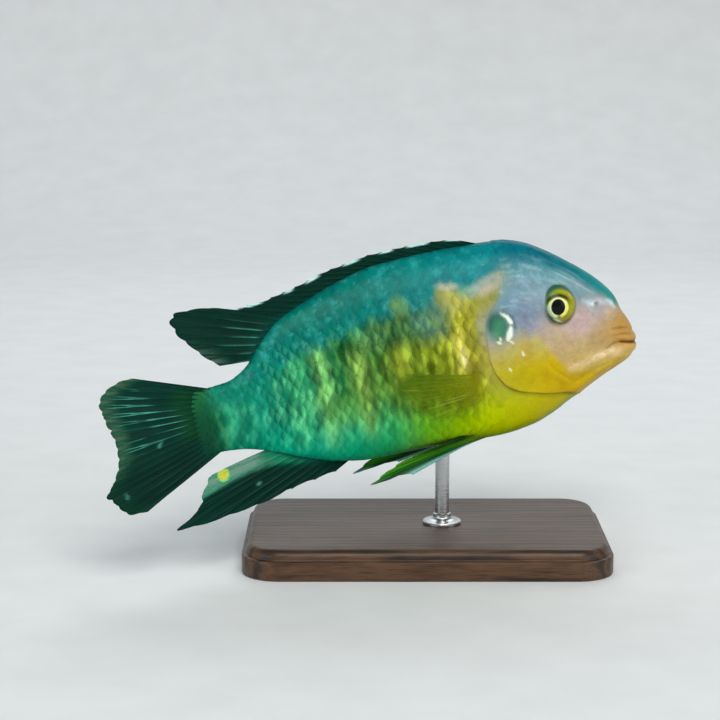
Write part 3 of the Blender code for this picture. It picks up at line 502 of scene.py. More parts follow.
def paint_head(back, up):
    """Head colours: teal crown, lavender cheek, orange snout and golden lower gill cover, with painted
    glints and highlights, and painted shade in the creases and the mouth's slit.
    """
    patch, line = partial(blob, back, up), partial(tapered, back, up)
    wander = layered_noise(back / 4.0, up / 4.0, 41)
    fine = layered_noise(back / 1.3, up / 1.3, 47)
    grain = layered_noise(back / 0.6, up / 0.6, 59)
    spots = mottle(back / 1.2, up / 1.2, 53, 0.15, 0.7)
    canvas = lay(
        ramp(up + 1.2 * wander, FACE_COLOURS),
        ((112, 132, 160), 0.75 * patch((27.0, 14.5), (4.6, 6.5))),
        ((84, 94, 140), 0.75 * patch((28.3, 16.0), (1.7, 2.0), 60.0) * (0.8 + 0.4 * fine)),
        ((166, 170, 184), 0.6 * patch((24.8, 19.0), (4.6, 3.2))),
        ((196, 168, 174), 0.6 * patch((13.0, 8.4), (4.4, 3.0))),
        ((174, 142, 90), 0.6 * patch((7.4, 4.4), (4.8, 3.4))),
        ((92, 116, 146), 0.4 * spots * patch((26.0, 17.0), (6.0, 7.0))),
    )
    canvas = canvas * (1 + 0.09 * fine[..., None] + 0.07 * grain[..., None])
    streaks = mottle((back + up) / 2.2, (up - back) / 0.8, 63, 0.1, 0.8) * smoothstep(4.0, 8.0, up)
    # Gold below its edge, hazy upwards, with a softer edge towards the trunk.
    uneven = 0.9 * wander + 0.8 * fine * smoothstep(22.0, 28.0, back)
    gold_soft = 2.0 + 1.2 * smoothstep(24.0, 30.0, back)
    gold = 1 - smoothstep(-1.0, 1.0, (up - GOLD_EDGE(back) + uneven) / gold_soft)
    golden = lay(
        ramp(back + wander, GOLD_COLOURS),
        (GOLD_HAZE, 0.8 * smoothstep(0.5, 7.5, up)),
        ((186, 146, 0), 0.5 * mottle(back / 3.4, up / 3.4, 49, 0.0, 0.8)),
    )
    jaw = bump(line_distance(back, up, JAW_LINE), 1.2)
    sheen = line(JAW_SHEEN, 0.7) * mottle(back / 1.4, up / 0.8, 67, -0.3, 0.5)
    over_belly = up - belly_line(back)
    chin = (1 - smoothstep(1.4, 3.6, over_belly)) * smoothstep(2.2, 6.0, back)
    under_jaw = (1 - smoothstep(0.2, 1.6, over_belly)) * smoothstep(1.6, 5.0, back)
    # The crown's teal, with a haze and wisps of painted highlight under its edge.
    depth, width = back_line(back) - up, CROWN_WIDTH(back)
    crown = (1 - smoothstep(0.45, 1.5, (depth + 0.7 * wander) / width)) * smoothstep(1.4, 3.6, back)
    dark_crown = mottle(back / 3.0, depth / 1.3, 45, 0.1, 0.8) * crown * smoothstep(8.0, 14.0, back)
    haze = bump((depth - 1.9 * width) / width, 0.8) * smoothstep(6.0, 12.0, back)
    wisp_highlights = smoothstep(0.1, 0.8, smooth_noise(back / 2.6, depth / 0.55, 43))
    wisp_highlights = wisp_highlights * band(depth / width, 0.7, 2.6, 0.4) * smoothstep(7.0, 11.0, back)
    glitter = 0.75 + 0.45 * layered_noise(back / 0.9, up / 0.7, 57)
    from_mouth = up - mid_line(back)
    # Painted shade: dark brown along the mouth's slit, widest in front and fading out at its corner.
    slit = bump(from_mouth, 0.16 + 0.2 * (1 - smoothstep(1.0, MOUTH_CORNER + 0.8, back)))
    slit = slit * (1 - smoothstep(MOUTH_CORNER - 0.4, MOUTH_CORNER + 0.9, back))
    lip_line = bump(from_mouth - 0.15, 0.55)
    lip_line = lip_line * (1 - smoothstep(MOUTH_CORNER - 0.6, MOUTH_CORNER + 1.4, back))
    return lay(
        canvas,
        ((172, 186, 190), 0.28 * streaks * smoothstep(16.0, 20.0, back)),
        (golden, gold * smoothstep(3.0, 7.0, back)),
        ((188, 144, 68), 0.85 * patch((1.3, 4.4), (6.2, 4.4), -18.0)),
        ((222, 192, 140), np.clip(0.75 * jaw * (0.85 + 0.5 * fine), 0.0, 1.0)),
        ((242, 218, 184), 0.8 * sheen),
        ((206, 168, 92), 0.85 * patch((1.2, -1.2), (3.4, 1.5), 8.0)),
        ((196, 158, 14), 0.9 * chin),
        ((160, 122, 0), 0.6 * under_jaw),
        (ramp(back, CROWN_COLOURS), crown),
        ((0, 82, 98), 0.55 * dark_crown),
        ((92, 150, 164), 0.5 * haze),
        ((168, 202, 206), 0.45 * wisp_highlights),
        ((206, 214, 226), np.clip(0.72 * line(BROW_GLINT, 0.9) * glitter, 0.0, 0.9)),
        ((226, 232, 240), np.clip(0.7 * line(NEAR_GLINT, 0.45) * glitter, 0.0, 0.9)),
        ((196, 236, 234), 0.8 * line(FAR_GLINT, 0.5)),
        # Painted shade in the creases.
        *[((116, 66, 18), 0.78 * line(crease, 0.40)) for crease in CREASE_SHADES],
        ((140, 80, 14), 0.7 * lip_line),
        ((120, 62, 14), 0.9 * slit),
    )


# The spot on the gill cover, a white painted highlight along its front edge in two drops, and the bright
# flecks near it.
SPOT_CENTRE = (33.3, 12.2)
SPOT_FRONT = ((31.6, 15.8, 0.1), (29.5, 13.6, 0.3), (29.3, 11.0, 0.2))
BLUE_DASH = ((28.4, 11.2, 0.15), (28.9, 8.8, 0.25))
SPOT_HIGHLIGHTS = (
    ((32.1, 15.1, 0.15), (30.8, 14.1, 0.42), (30.1, 12.6, 0.45)),
    ((30.4, 11.3, 0.4), (30.95, 9.9, 0.75), (31.5, 9.0, 0.5)),
)
FLECKS = (
    ((33.3, 9.5, 0.22), (33.3, 9.2, 0.26)),
    ((34.0, 8.7, 0.3), (33.5, 8.4, 0.34)),
    ((31.0, 8.2, 0.18), (30.5, 7.8, 0.2)),
    ((28.7, 5.3, 0.15), (28.6, 4.4, 0.28)),
    ((32.4, 2.0, 0.2), (32.2, 1.5, 0.26)),
)


def paint_marks(canvas, back, up):
    """Marks that lie over head and trunk alike: the gill cover's spot, the painted highlight at its front,
    and what is round it.
    """
    patch, line = partial(blob, back, up), partial(tapered, back, up)
    return lay(
        canvas,
        ((120, 138, 144), 0.65 * patch(SPOT_CENTRE, (3.8, 4.4))),
        ((26, 92, 76), 0.9 * patch((33.5, 12.5), (2.3, 3.1), 0.0, 1.6)),
        ((66, 136, 102), 0.85 * patch((33.0, 11.8), (1.6, 2.3), 0.0, 0.9)),
        ((104, 156, 126), 0.5 * patch((34.6, 10.2), (1.5, 1.3))),
        ((24, 80, 62), 0.6 * line(SPOT_FRONT, 0.4)),
        ((128, 184, 176), 0.55 * line(BLUE_DASH, 0.35)),
        # White painted highlight at the spot's front edge.
        *[((232, 246, 230), 0.97 * line(drop)) for drop in SPOT_HIGHLIGHTS],
        *[((232, 240, 200), 0.92 * line(fleck)) for fleck in FLECKS],
    )


def on_nape(degrees):
    """1 over the nape, where there is no gill opening, to 0 on the flank."""
    return 1 - smoothstep(44.0, 62.0, degrees)


def paint_body(back, up, degrees):
    """Colour of skin and scales anywhere on the body, with painted shade under the gill cover's lower edge.
    """
    past_gill = back - GILL_EDGE(degrees)
    blur = 0.4 + 0.9 * (1 - smoothstep(64.0, 78.0, degrees))
    nape = on_nape(degrees)
    behind = smoothstep(-blur, blur, past_gill) * (1 - nape) + smoothstep(-4.0, 3.0, past_gill) * nape
    # Painted shade: a brown band just behind the lower gill cover's edge.
    under_cover_shade = band(degrees, 110.0, 150.0, 8.0) * bump(past_gill - 0.3, 0.7)
    canvas = lay(paint_head(back, up), (paint_flank(back, up), behind), ((112, 92, 0), 0.75 * under_cover_shade))
    return paint_marks(canvas, back, up)


# Meshes and materials

def new_object(name, points, faces):
    mesh = bpy.data.meshes.new(name)
    mesh.from_pydata(points.tolist(), [], faces if isinstance(faces, list) else faces.tolist())
    mesh.update()
    mesh.shade_smooth()
    obj = bpy.data.objects.new(name, mesh)
    bpy.context.scene.collection.objects.link(obj)
    return obj


def give_colour(mesh, colours, alpha=None):
    """Stores a colour for each point, which the material reads."""
    layer = mesh.color_attributes.new(name="paint", type="FLOAT_COLOR", domain="POINT")
    opacity = np.ones(len(colours)) if alpha is None else alpha
    rgba = np.concatenate([np.clip(colours, 0.0, 1.0), opacity[:, None]], axis=1)
    layer.data.foreach_set("color", rgba.astype(np.float32).ravel())


def give_vector(mesh, vectors, name):
    layer = mesh.attributes.new(name=name, type="FLOAT_VECTOR", domain="POINT")
    layer.data.foreach_set("vector", vectors.astype(np.float32).ravel())


def give_map(mesh, coordinates):
    """The unwrap that colours are stored on, from one coordinate pair for each point."""
    layer = mesh.uv_layers.new(name="OFBake")
    corners = np.empty(len(mesh.loops), dtype=np.int32)
    mesh.loops.foreach_get("vertex_index", corners)
    layer.data.foreach_set("uv", coordinates[corners].astype(np.float32).ravel())


def grid_quads(rows, columns, wrap=False):
    """Quads over a grid of points. With wrap, the last column joins the first."""
    i = np.arange(rows - 1)[:, None]
    j = np.arange(columns if wrap else columns - 1)[None, :]
    k = (j + 1) % columns
    corners = (i * columns + j, i * columns + k, (i + 1) * columns + k, (i + 1) * columns + j)
    return np.stack([np.broadcast_to(c, (rows - 1, j.shape[1])).ravel() for c in corners], -1)


def outward(points, faces):
    """Turns the faces round if they enclose a negative volume."""
    a, b, c = (points[faces[:, i]] for i in (0, 1, 2))
    volume = np.einsum("ij,ij->i", a, np.cross(b, c)).sum()
    if faces.shape[1] == 4:
        d = points[faces[:, 3]]
        volume += np.einsum("ij,ij->i", a, np.cross(c, d)).sum()
    return faces if volume > 0 else faces[:, ::-1]


def ringed(name, world, rings, size):
    """An object of rings of points joined by quads. Its last two points close its ends."""
    pairs = [(i, (i + 1) % size) for i in range(size)]
    tip, last = rings * size, (rings - 1) * size
    ends = [(b, a, tip) for a, b in pairs] + [(last + a, last + b, tip + 1) for a, b in pairs]
    quads = grid_quads(rings, size, wrap=True)
    if outward(world, quads)[0][0] != quads[0][0]:
        quads, ends = quads[:, ::-1], [end[::-1] for end in ends]
    return new_object(name, world, quads.tolist() + ends)


def plate_faces(rows, columns):
    """Faces of a thin plate: a grid of points, the same grid on its far side, and the rim between."""
    count = rows * columns
    near = grid_quads(rows, columns)
    rim = list(range(columns)) + [i * columns + columns - 1 for i in range(1, rows)]
    rim += [(rows - 1) * columns + j for j in range(columns - 2, -1, -1)]
    rim += [i * columns for i in range(rows - 2, 0, -1)]
    walls = [(b, a, a + count, b + count) for a, b in zip(rim, rim[1:] + rim[:1])]
    return np.vstack([near, near[:, ::-1] + count, walls])


def solid_rings(name, rings, sharp):
    """An object of rings in millimetres from its floor up, with flat ends. sharp is in degrees."""
    points = np.array(rings) * MM
    count, size = points.shape[:2]
    floor, top = list(range(size))[::-1], list(range((count - 1) * size, count * size))
    faces = grid_quads(count, size, wrap=True).tolist() + [floor, top]
    obj = new_object(name, points.reshape(-1, 3), faces)
    obj.data.set_sharp_from_angle(angle=math.radians(sharp))
    return obj


class Look:
    """A Principled material built up node by node."""

    def __init__(self, name, **values):
        self.material = bpy.data.materials.new(name)
        self.material.use_nodes = True
        self.tree = self.material.node_tree
        self.shader = self.tree.nodes["Principled BSDF"]
        for socket, value in values.items():
            self.shader.inputs[socket.replace("_", " ")].default_value = value

    def node(self, kind, settings=None, **inputs):
        made = self.tree.nodes.new(kind)
        for key, value in (settings or {}).items():
            setattr(made, key, value)
        for key, value in inputs.items():
            numbered = key[0] == "i" and key[1:].isdigit()
            socket = made.inputs[int(key[1:]) if numbered else key.replace("_", " ")]
            if isinstance(value, bpy.types.NodeSocket):
                self.tree.links.new(value, socket)
            else:
                socket.default_value = value
        return made

    def place(self, stretch=(1.0, 1.0, 1.0)):
        """Object coordinates, stretched."""
        where = self.node("ShaderNodeTexCoord").outputs["Object"]
        return self.node("ShaderNodeMapping", Vector=where, Scale=stretch).outputs["Vector"]

    def noise(self, vector, scale, detail=3.0):
        values = {"Scale": scale, "Detail": detail, "Roughness": 0.55}
        return self.node("ShaderNodeTexNoise", Vector=vector, **values).outputs["Fac"]

    def spread(self, value, low, high, to_low, to_high):
        """Maps low to high of a value onto another range."""
        made = self.node("ShaderNodeMapRange", i0=value, i1=low, i2=high, i3=to_low, i4=to_high)
        return made.outputs["Result"]


    def vary(self, noise, low, high):
        """Maps the middle of a noise's values onto low to high."""
        return self.spread(noise, 0.3, 0.7, low, high)

    def math(self, operation, a, b=0.0):
        return self.node("ShaderNodeMath", {"operation": operation}, i0=a, i1=b).outputs["Value"]

    def mix(self, blend, factor, a, b):
        kind = {"data_type": "RGBA", "blend_type": blend}
        return self.node("ShaderNodeMix", kind, i0=factor, i6=a, i7=b).outputs[2]

    def shaded(self, colour, shade):
        """A colour made lighter or darker by a shade."""
        grey = self.node("ShaderNodeCombineColor", Red=shade, Green=shade, Blue=shade).outputs["Color"]
        return self.mix("MULTIPLY", 1.0, colour, grey)

    def stored(self, name, output):
        """What each point of the mesh carries under a name."""
        return self.node("ShaderNodeAttribute", {"attribute_name": name}).outputs[output]

    def bump(self, heights):
        """Chains (height, depth in metres) pairs into one normal."""
        normal = None
        for height, depth in heights:
            extra = {"Normal": normal} if normal is not None else {}
            made = self.node("ShaderNodeBump", Strength=1.0, Distance=depth, Height=height, **extra)
            normal = made.outputs["Normal"]
        self.link(normal, "Normal")

    def link(self, output, socket):
        self.tree.links.new(output, self.shader.inputs[socket])


def skin_look():
    look = Look("fish_skin", Coat_Weight=0.07, Coat_Roughness=0.2, Specular_IOR_Level=0.08)
    where = look.place()
    speckle, cloud = look.noise(where, 2600.0, 2.0), look.noise(where, 420.0)
    blotch = look.noise(look.place((1.0, 1.0, 1.6)), 900.0, 4.0)
    shade = look.math("MULTIPLY", look.vary(speckle, 0.93, 1.06), look.vary(cloud, 0.90, 1.08))
    warmth = look.spread(blotch, 0.35, 0.65, 0.0, 1.0)
    warm = look.mix("MIX", warmth, (0.94, 1.0, 1.0, 1.0), (1.05, 0.99, 0.97, 1.0))
    colour = look.shaded(look.stored("paint", "Color"), shade)
    look.link(look.mix("MULTIPLY", 1.0, colour, warm), "Base Color")
    look.link(look.vary(cloud, 0.30, 0.42), "Roughness")
    look.bump([(look.noise(where, 700.0, 2.0), 0.00005), (blotch, 0.00004), (speckle, 0.000015)])
    return look.material


def scale_look():
    """Scales carry the skin's colours, with growth rings round each scale's root."""
    look = Look("fish_scales", Coat_Weight=0.03, Coat_Roughness=0.2, Specular_IOR_Level=0.04)
    speckle = look.noise(look.place(), 3000.0, 2.0)
    local = look.node("ShaderNodeSeparateXYZ", Vector=look.stored("scale_place", "Vector"))
    squares = [look.math("MULTIPLY", local.outputs[axis], local.outputs[axis]) for axis in "YX"]
    reach = look.math("SQRT", look.math("ADD", *squares))
    rings = look.math("SINE", look.math("MULTIPLY", reach, 62.0))
    relief = look.spread(rings, -1.0, 1.0, 0.97, 1.03)
    shade = look.math("MULTIPLY", look.vary(speckle, 0.94, 1.05), relief)
    look.link(look.shaded(look.stored("paint", "Color"), shade), "Base Color")
    look.link(look.vary(speckle, 0.24, 0.36), "Roughness")
    look.bump([(rings, 0.00001), (speckle, 0.000008)])
    return look.material


def fin_look(name):
    look = Look(name, Coat_Weight=0.03, Coat_Roughness=0.25, Specular_IOR_Level=0.05)
    where = look.place()
    speckle = look.noise(where, 2400.0, 2.0)
    look.link(look.shaded(look.stored("paint", "Color"), look.vary(speckle, 0.82, 1.14)), "Base Color")
    look.link(look.vary(speckle, 0.34, 0.46), "Roughness")
    look.link(look.stored("paint", "Alpha"), "Alpha")
    look.bump([(look.noise(where, 1300.0, 2.0), 0.00002)])
    return look.material


def eye_look():
    look = Look("eye_gloss", Roughness=0.3, Coat_Weight=0.12, Coat_Roughness=0.03, Specular_IOR_Level=0.1)
    fibres = look.noise(look.place(), 3400.0)
    look.link(look.shaded(look.stored("paint", "Color"), look.vary(fibres, 0.86, 1.12)), "Base Color")
    return look.material


def wood_look():
    look = Look("stained_walnut", Coat_Weight=0.15, Coat_Roughness=0.3, Specular_IOR_Level=0.3)
    where = look.place((1.0, 7.0, 7.0))
    warp = look.noise(where, 26.0)
    kind = {"wave_type": "BANDS", "bands_direction": "Y"}
    values = {"Scale": 16.0, "Distortion": 7.0, "Detail": 3.0, "Detail_Scale": 2.2}
    rings = look.node("ShaderNodeTexWave", kind, Vector=where, **values).outputs["Fac"]
    pores = look.noise(look.place((1.0, 22.0, 22.0)), 190.0, 2.0)
    dark, light = (0.022, 0.010, 0.005, 1.0), (0.105, 0.050, 0.022, 1.0)
    tone = look.math("ADD", look.math("MULTIPLY", rings, 0.6), look.math("MULTIPLY", warp, 0.4))
    colour = look.mix("MIX", look.spread(tone, 0.15, 0.85, 0.0, 1.0), dark, light)
    look.link(look.shaded(colour, look.spread(pores, 0.32, 0.5, 0.45, 1.0)), "Base Color")
    look.link(look.vary(warp, 0.36, 0.5), "Roughness")
    look.bump([(pores, 0.00006), (rings, 0.00003)])
    return look.material


def steel_look():
    look = Look("brushed_steel", Metallic=1.0)
    streaks = look.noise(look.place((1.0, 1.0, 40.0)), 130.0)
    dark, light = (0.42, 0.43, 0.44, 1.0), (0.62, 0.63, 0.64, 1.0)
    look.link(look.mix("MIX", look.vary(streaks, 0.0, 1.0), dark, light), "Base Color")
    look.link(look.vary(streaks, 0.24, 0.38), "Roughness")
    look.bump([(streaks, 0.00002)])
    return look.material


# Skin

UPPER_LIP, LOWER_LIP = (0.25, 1.2, 0.8), (0.12, -1.4, 0.9)
SLIT_DEPTH, SLIT_WIDTH = 0.5, 0.28
UPPER_CREASE, LOWER_CREASE = (-0.25, 2.7, 0.4), (-0.12, -2.9, 0.4)
JAW_START, JAW_END, JAW_RIDGE, JAW_WIDTH = (5.0, -1.6), (17.0, -7.2), 0.4, 1.0
CHEEK, CHEEK_RADIUS, CHEEK_BULGE = (16.5, 1.0), 6.0, 0.5
LIP_DIP = 0.5
PORE_DEPTH, PORE_RADIUS, WRINKLE_HEIGHT, SKIN_UNEVEN = 0.18, 0.26, 0.025, 0.03
NOSTRIL_RIM, NOSTRIL_DEPTH = 0.12, 0.9
# Creases and folds of the face: points, depth (negative) or height, width.
FACE_LINES = (
    (((5.2, 1.7), (8.0, 0.8), (10.0, -0.1)), -0.16, 0.4),
    (((2.0, 3.9), (4.0, 4.7), (6.0, 5.0)), -0.13, 0.34),
    (((2.8, 6.7), (6.2, 6.5)), -0.06, 0.4),
    (((6.6, 3.5), (9.6, 2.2), (12.6, 3.0)), -0.1, 0.5),
    (((6.0, -2.4), (10.6, -3.4), (16.6, -5.2)), -0.18, 0.5),
    (((5.4, -0.8), (10.0, -0.9), (16.5, -2.8)), 0.14, 0.8),
    (((12.6, 8.2), (13.4, 14.0), (15.5, 19.4)), 0.10, 0.8),
)
PORES = (
    (10.4, 9.4), (11.3, 6.6), (13.4, 5.2), (16.0, 4.6), (9.6, 14.6), (12.2, 18.4), (20.6, 4.0),
)
EYE_CLEAR = 0.45
# The opening in the skin round the eye: centre from the eyeball's, half sizes, and how soft its edge is.
EYE_OPENING, EYE_HALF_SIZES, EYE_EDGE = (-0.5, -0.3), (3.72, 4.62), 0.06
EYE_RIM, EYE_RIM_WIDTH, LID_CLEAR = 0.08, 0.10, 0.09


def eye_axes(hand):
    """Centre and axes of an eyeball in fish coordinates. The third axis points out of the head."""
    turn = Matrix.Rotation(EYE_FORWARD_TURN * hand, 3, "Z") @ Matrix.Rotation(-EYE_UP_TURN * hand, 3, "X")
    lay_down = Matrix.Rotation(math.radians(90.0) * hand, 3, "X")
    axes = np.diag([-1.0, -1.0, 1.0]) @ np.array(turn @ lay_down)
    side = (float(flank_side(EYE_BACK, EYE_UP)) - EYE_SUNK) * hand
    return np.array([EYE_BACK, side, EYE_UP]), axes


def face_relief(back, up):
    """How far lips, slit, creases, jaw, cheek and pores stand out of the smooth head."""
    from_mouth = up - mid_line(back)
    lips = 1 - smoothstep(MOUTH_CORNER - 1.0, LIP_FADE, back)
    slit = 1 - smoothstep(MOUTH_CORNER - 0.3, MOUTH_CORNER + 0.6, back)
    relief = -SLIT_DEPTH * slit * bump(from_mouth, SLIT_WIDTH)
    for height, level, width in (UPPER_LIP, LOWER_LIP, UPPER_CREASE, LOWER_CREASE):
        relief += height * lips * bump(from_mouth - level, width)
    # Fine upright wrinkles on the lips.
    wrinkles = np.sin(back * 9.0 + 2.0 * smooth_noise(back * 1.5, up * 1.5, 5))
    relief += WRINKLE_HEIGHT * lips * wrinkles * bump(np.abs(from_mouth) - 1.2, 0.9)
    relief += JAW_RIDGE * bump(line_distance(back, up, (JAW_START, JAW_END)), JAW_WIDTH)
    relief += CHEEK_BULGE * bump(np.hypot(back - CHEEK[0], up - CHEEK[1]), CHEEK_RADIUS)
    for points, height, width in FACE_LINES:
        relief += height * bump(line_distance(back, up, points), width)
    for centre in PORES:
        relief -= PORE_DEPTH * bump(np.hypot(back - centre[0], up - centre[1]), PORE_RADIUS)
    from_nostril = np.hypot(back - NOSTRIL_BACK, up - NOSTRIL_UP)
    relief += NOSTRIL_RIM * bump(from_nostril - NOSTRIL_RADIUS - 0.25, 0.25)
    opening = 1 - smoothstep(NOSTRIL_RADIUS - 0.25, NOSTRIL_RADIUS + 0.1, from_nostril)
    relief -= NOSTRIL_DEPTH * opening
    relief += SKIN_UNEVEN * layered_noise(back / 1.2, up / 1.2, 61)
    # The profile dips a little over the upper lip.
    relief -= LIP_DIP * bump(np.hypot(back - 1.8, 0.6 * (up - 8.2)), 1.9)
    return relief


def head_scaling(back, degrees):
    """How fully scaled the head is: small scales over the crown, none on face, cheek and gill cover."""
    up = section_point(back, degrees)[1]
    crown = smoothstep(13.0, 22.0, back) * (1 - smoothstep(48.0, 60.0, degrees))
    return crown * smoothstep(5.2, 6.8, np.hypot(back - EYE_BACK, up - EYE_UP))


def skin_depth(back, degrees):
    """How far the skin lies under the solids' surface."""
    past_gill = back - GILL_EDGE(degrees)
    nape = on_nape(degrees)
    scaled = smoothstep(0.0, 3.0, past_gill) * (1 - nape) + smoothstep(-9.0, 1.0, past_gill) * nape
    face = FACE_DEPTH + 0.1 * head_scaling(back, degrees)
    return face + (COAT_DEPTH - face) * scaled


def flap_share(degrees):
    """How free the gill cover's edge stands: not at all over the nape, most at its lower rear."""
    low = smoothstep(98.0, 114.0, degrees)
    far_low = smoothstep(120.0, 150.0, degrees)
    return smoothstep(48.0, 62.0, degrees) * (0.3 + 0.7 * low) * (1 - 0.6 * far_low)


HEAD_RINGS, TRUNK_RINGS, HALF_COUNT = 300, 130, 161
# The gill cover's free edge, as (behind its edge, lift): out, round the rim and back underneath.
FLAP_PROFILE = (
    (-0.02, 0.46), (0.12, 0.38), (0.16, 0.24), (0.06, 0.10), (-0.25, -0.06), (-0.30, -0.22), (0.10, -0.32),
)
HALF_STEPS = np.linspace(-1.0, 1.0, HALF_COUNT)
HALF_ANGLES = 90.0 + 90.0 * np.sign(HALF_STEPS) * np.abs(HALF_STEPS) ** 1.12
RING_ANGLES = np.concatenate([HALF_ANGLES, HALF_ANGLES[-2:0:-1]])
RING_HANDS = np.concatenate([np.ones(HALF_COUNT), -np.ones(HALF_COUNT - 2)])


PLATE_STEP, PLATE_GROOVE = 0.16, 0.12


def preopercle_relief(back, degrees):
    """A soft step along the front of the gill cover."""
    front = PLATE_FRONT(np.clip(degrees, PLATE_ANGLES[0], PLATE_ANGLES[-1]))
    inside = band(degrees, 60.0, 132.0, 5.0)
    step = PLATE_STEP * smoothstep(-0.5, 1.4, back - front)
    return inside * (step - PLATE_GROOVE * bump(back - front + 0.3, 0.4))


COVER_FLARE, FLARE_RUN = 0.30, 2.4
# Where the rings behind the gill opening start, the dip and the throat's folds there, and how far
# each of them runs back.
TRUNK_START, SHOULDER_DIP, SHOULDER_RUN = 0.45, 0.12, 2.0
FOLD_HEIGHT, FOLD_LENGTH, FOLD_FADE = 0.07, 2.2, 1.6
SNOUT_RUN, FLAP_CREEP = 25.0, 0.05


def head_lift(backs, degrees):
    """How far the head's skin stands out of the smooth body."""
    relief = face_relief(backs, section_point(backs, degrees)[1]) + preopercle_relief(backs, degrees)
    flare = COVER_FLARE * flap_share(degrees) * np.exp((backs - GILL_EDGE(degrees)) / FLARE_RUN)
    return relief + flare - skin_depth(backs, degrees)


def trunk_lift(backs, degrees):
    return -skin_depth(backs, degrees)


def skin_rings():
    """Back distances and lifts of every ring of the skin, from the snout to the tail."""
    edge = GILL_EDGE(RING_ANGLES)[None, :]
    share = (np.arange(1, HEAD_RINGS) / (HEAD_RINGS - 1.0))[:, None] ** 2
    head_backs = share * (SNOUT_RUN + (edge - SNOUT_RUN) * share)
    head_lifts = head_lift(head_backs, np.broadcast_to(RING_ANGLES, head_backs.shape))
    free = flap_share(RING_ANGLES)[None, :]
    flap_backs, flap_lifts = [], []
    for order, (behind, lift) in enumerate(FLAP_PROFILE):
        creep = (order + 1) * FLAP_CREEP
        flap_backs.append(edge[0] + free[0] * behind + (1 - free[0]) * creep)
        bare = -skin_depth(edge[0] + creep, RING_ANGLES)
        flap_lifts.append(free[0] * lift + (1 - free[0]) * bare)
    start = edge + TRUNK_START
    trunk_share = np.linspace(0.0, 1.0, TRUNK_RINGS)[:, None]
    trunk_backs = start + (SKIN_LENGTH - start) * trunk_share
    shoulder = SHOULDER_DIP * free * np.exp((start - trunk_backs) / SHOULDER_RUN)
    trunk_lifts = trunk_lift(trunk_backs, np.broadcast_to(RING_ANGLES, trunk_backs.shape)) - shoulder
    behind_cover = (trunk_backs - start) / FOLD_LENGTH
    folds = FOLD_HEIGHT * np.cos(behind_cover * math.tau) * np.exp(-behind_cover / FOLD_FADE)
    trunk_lifts = trunk_lifts + folds * smoothstep(118.0, 132.0, RING_ANGLES)[None, :]
    backs = np.vstack([head_backs, flap_backs, trunk_backs])
    return backs, np.vstack([head_lifts, flap_lifts, trunk_lifts])


def eye_local(points, hand):
    """Places from an eyeball's centre along its own axes, and their shares of the eye's opening."""
    centre, axes = eye_axes(hand)
    local = (points - centre) @ axes
    across, rise = -local[..., 0], local[..., 1] * hand
    opening = np.hypot(
        (across - EYE_OPENING[0]) / EYE_HALF_SIZES[0], (rise - EYE_OPENING[1]) / EYE_HALF_SIZES[1]
    )
    return local, opening


def sink_sockets(points):
    """Opens the skin round each eyeball, lays it over the ball's edge and raises a soft rim."""
    for _, hand in SIDES:
        centre, axes = eye_axes(hand)
        local, opening = eye_local(points, hand)
        near = (opening < 1.8) & (local[..., 2] > -1.0)
        reach = np.hypot(local[..., 0], local[..., 1])
        ball = EYE_DEPTH * np.sqrt(np.clip(1 - (reach / EYE_RADIUS) ** 2, 0.0, 1.0))
        sunk = 1 - smoothstep(1.0 - EYE_EDGE, 1.0 + EYE_EDGE, opening)
        # Over the ball's hidden edge the skin rises to clear it, then eases back.
        lid = np.maximum(ball + LID_CLEAR - local[..., 2], 0.0) * (reach < EYE_RADIUS + 0.05)
        # Where the head falls away from the eye, the skin climbs to meet it.
        edge_reach = np.minimum(reach / np.maximum(opening, 1e-3), 0.97 * EYE_RADIUS)
        edge_level = EYE_DEPTH * np.sqrt(1 - (edge_reach / EYE_RADIUS) ** 2)
        climb = np.maximum(edge_level - local[..., 2], 0.0) * (1 - smoothstep(1.0, 1.5, opening))
        rim = EYE_RIM * bump(opening - 1.0 - 1.6 * EYE_EDGE, EYE_RIM_WIDTH)
        height = local[..., 2] + np.maximum(lid, climb) + rim
        height = height * (1 - sunk) + (ball - EYE_CLEAR) * sunk
        local[..., 2] = np.where(near, height, local[..., 2])
        points = np.where(near[..., None], local @ axes.T + centre, points)
    return points


# The unwrap of the body: this length along it, and once round it.
MAP_LENGTH, FULL_TURN = 120.0, 360.0


def flank_map(back, degrees, hand):
    """Where a place on the body lies on the unwrap."""
    turn = np.where(hand > 0, degrees, FULL_TURN - degrees)
    return np.stack([back / MAP_LENGTH, turn / FULL_TURN], -1)


def make_skin(look):
    backs, lifts = skin_rings()
    angles, hands = (np.broadcast_to(values, backs.shape) for values in (RING_ANGLES, RING_HANDS))
    points = sink_sockets(surface(backs, angles, hands, lifts))
    ends = np.array([[0.9, 0.0, -0.1], [SKIN_LENGTH, 0.0, float(mid_line(SKIN_LENGTH))]])
    flat = np.vstack([points.reshape(-1, 3), ends])
    obj = ringed("skin", place_points(flat), *backs.shape)
    all_backs = np.concatenate([backs.ravel(), ends[:, 0]])
    all_angles = np.concatenate([angles.ravel(), [90.0, 90.0]])
    colours = paint_body(all_backs, section_point(all_backs, all_angles)[1], all_angles)
    give_colour(obj.data, lay(colours, ((36, 60, 52), socket_shade(flat))))
    all_hands = np.concatenate([hands.ravel(), [1.0, 1.0]])
    give_map(obj.data, flank_map(all_backs, all_angles, all_hands))
    obj.data.materials.append(look)
    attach(obj, "root")
    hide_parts("head", "gill_cover_right", "gill_cover_left", "trunk", "tail_stalk")
    return obj


# The groove round the eye is darkest towards this heading, in degrees.
GROOVE_HEADING, GROOVE_SPREAD = 225.0, 52.0


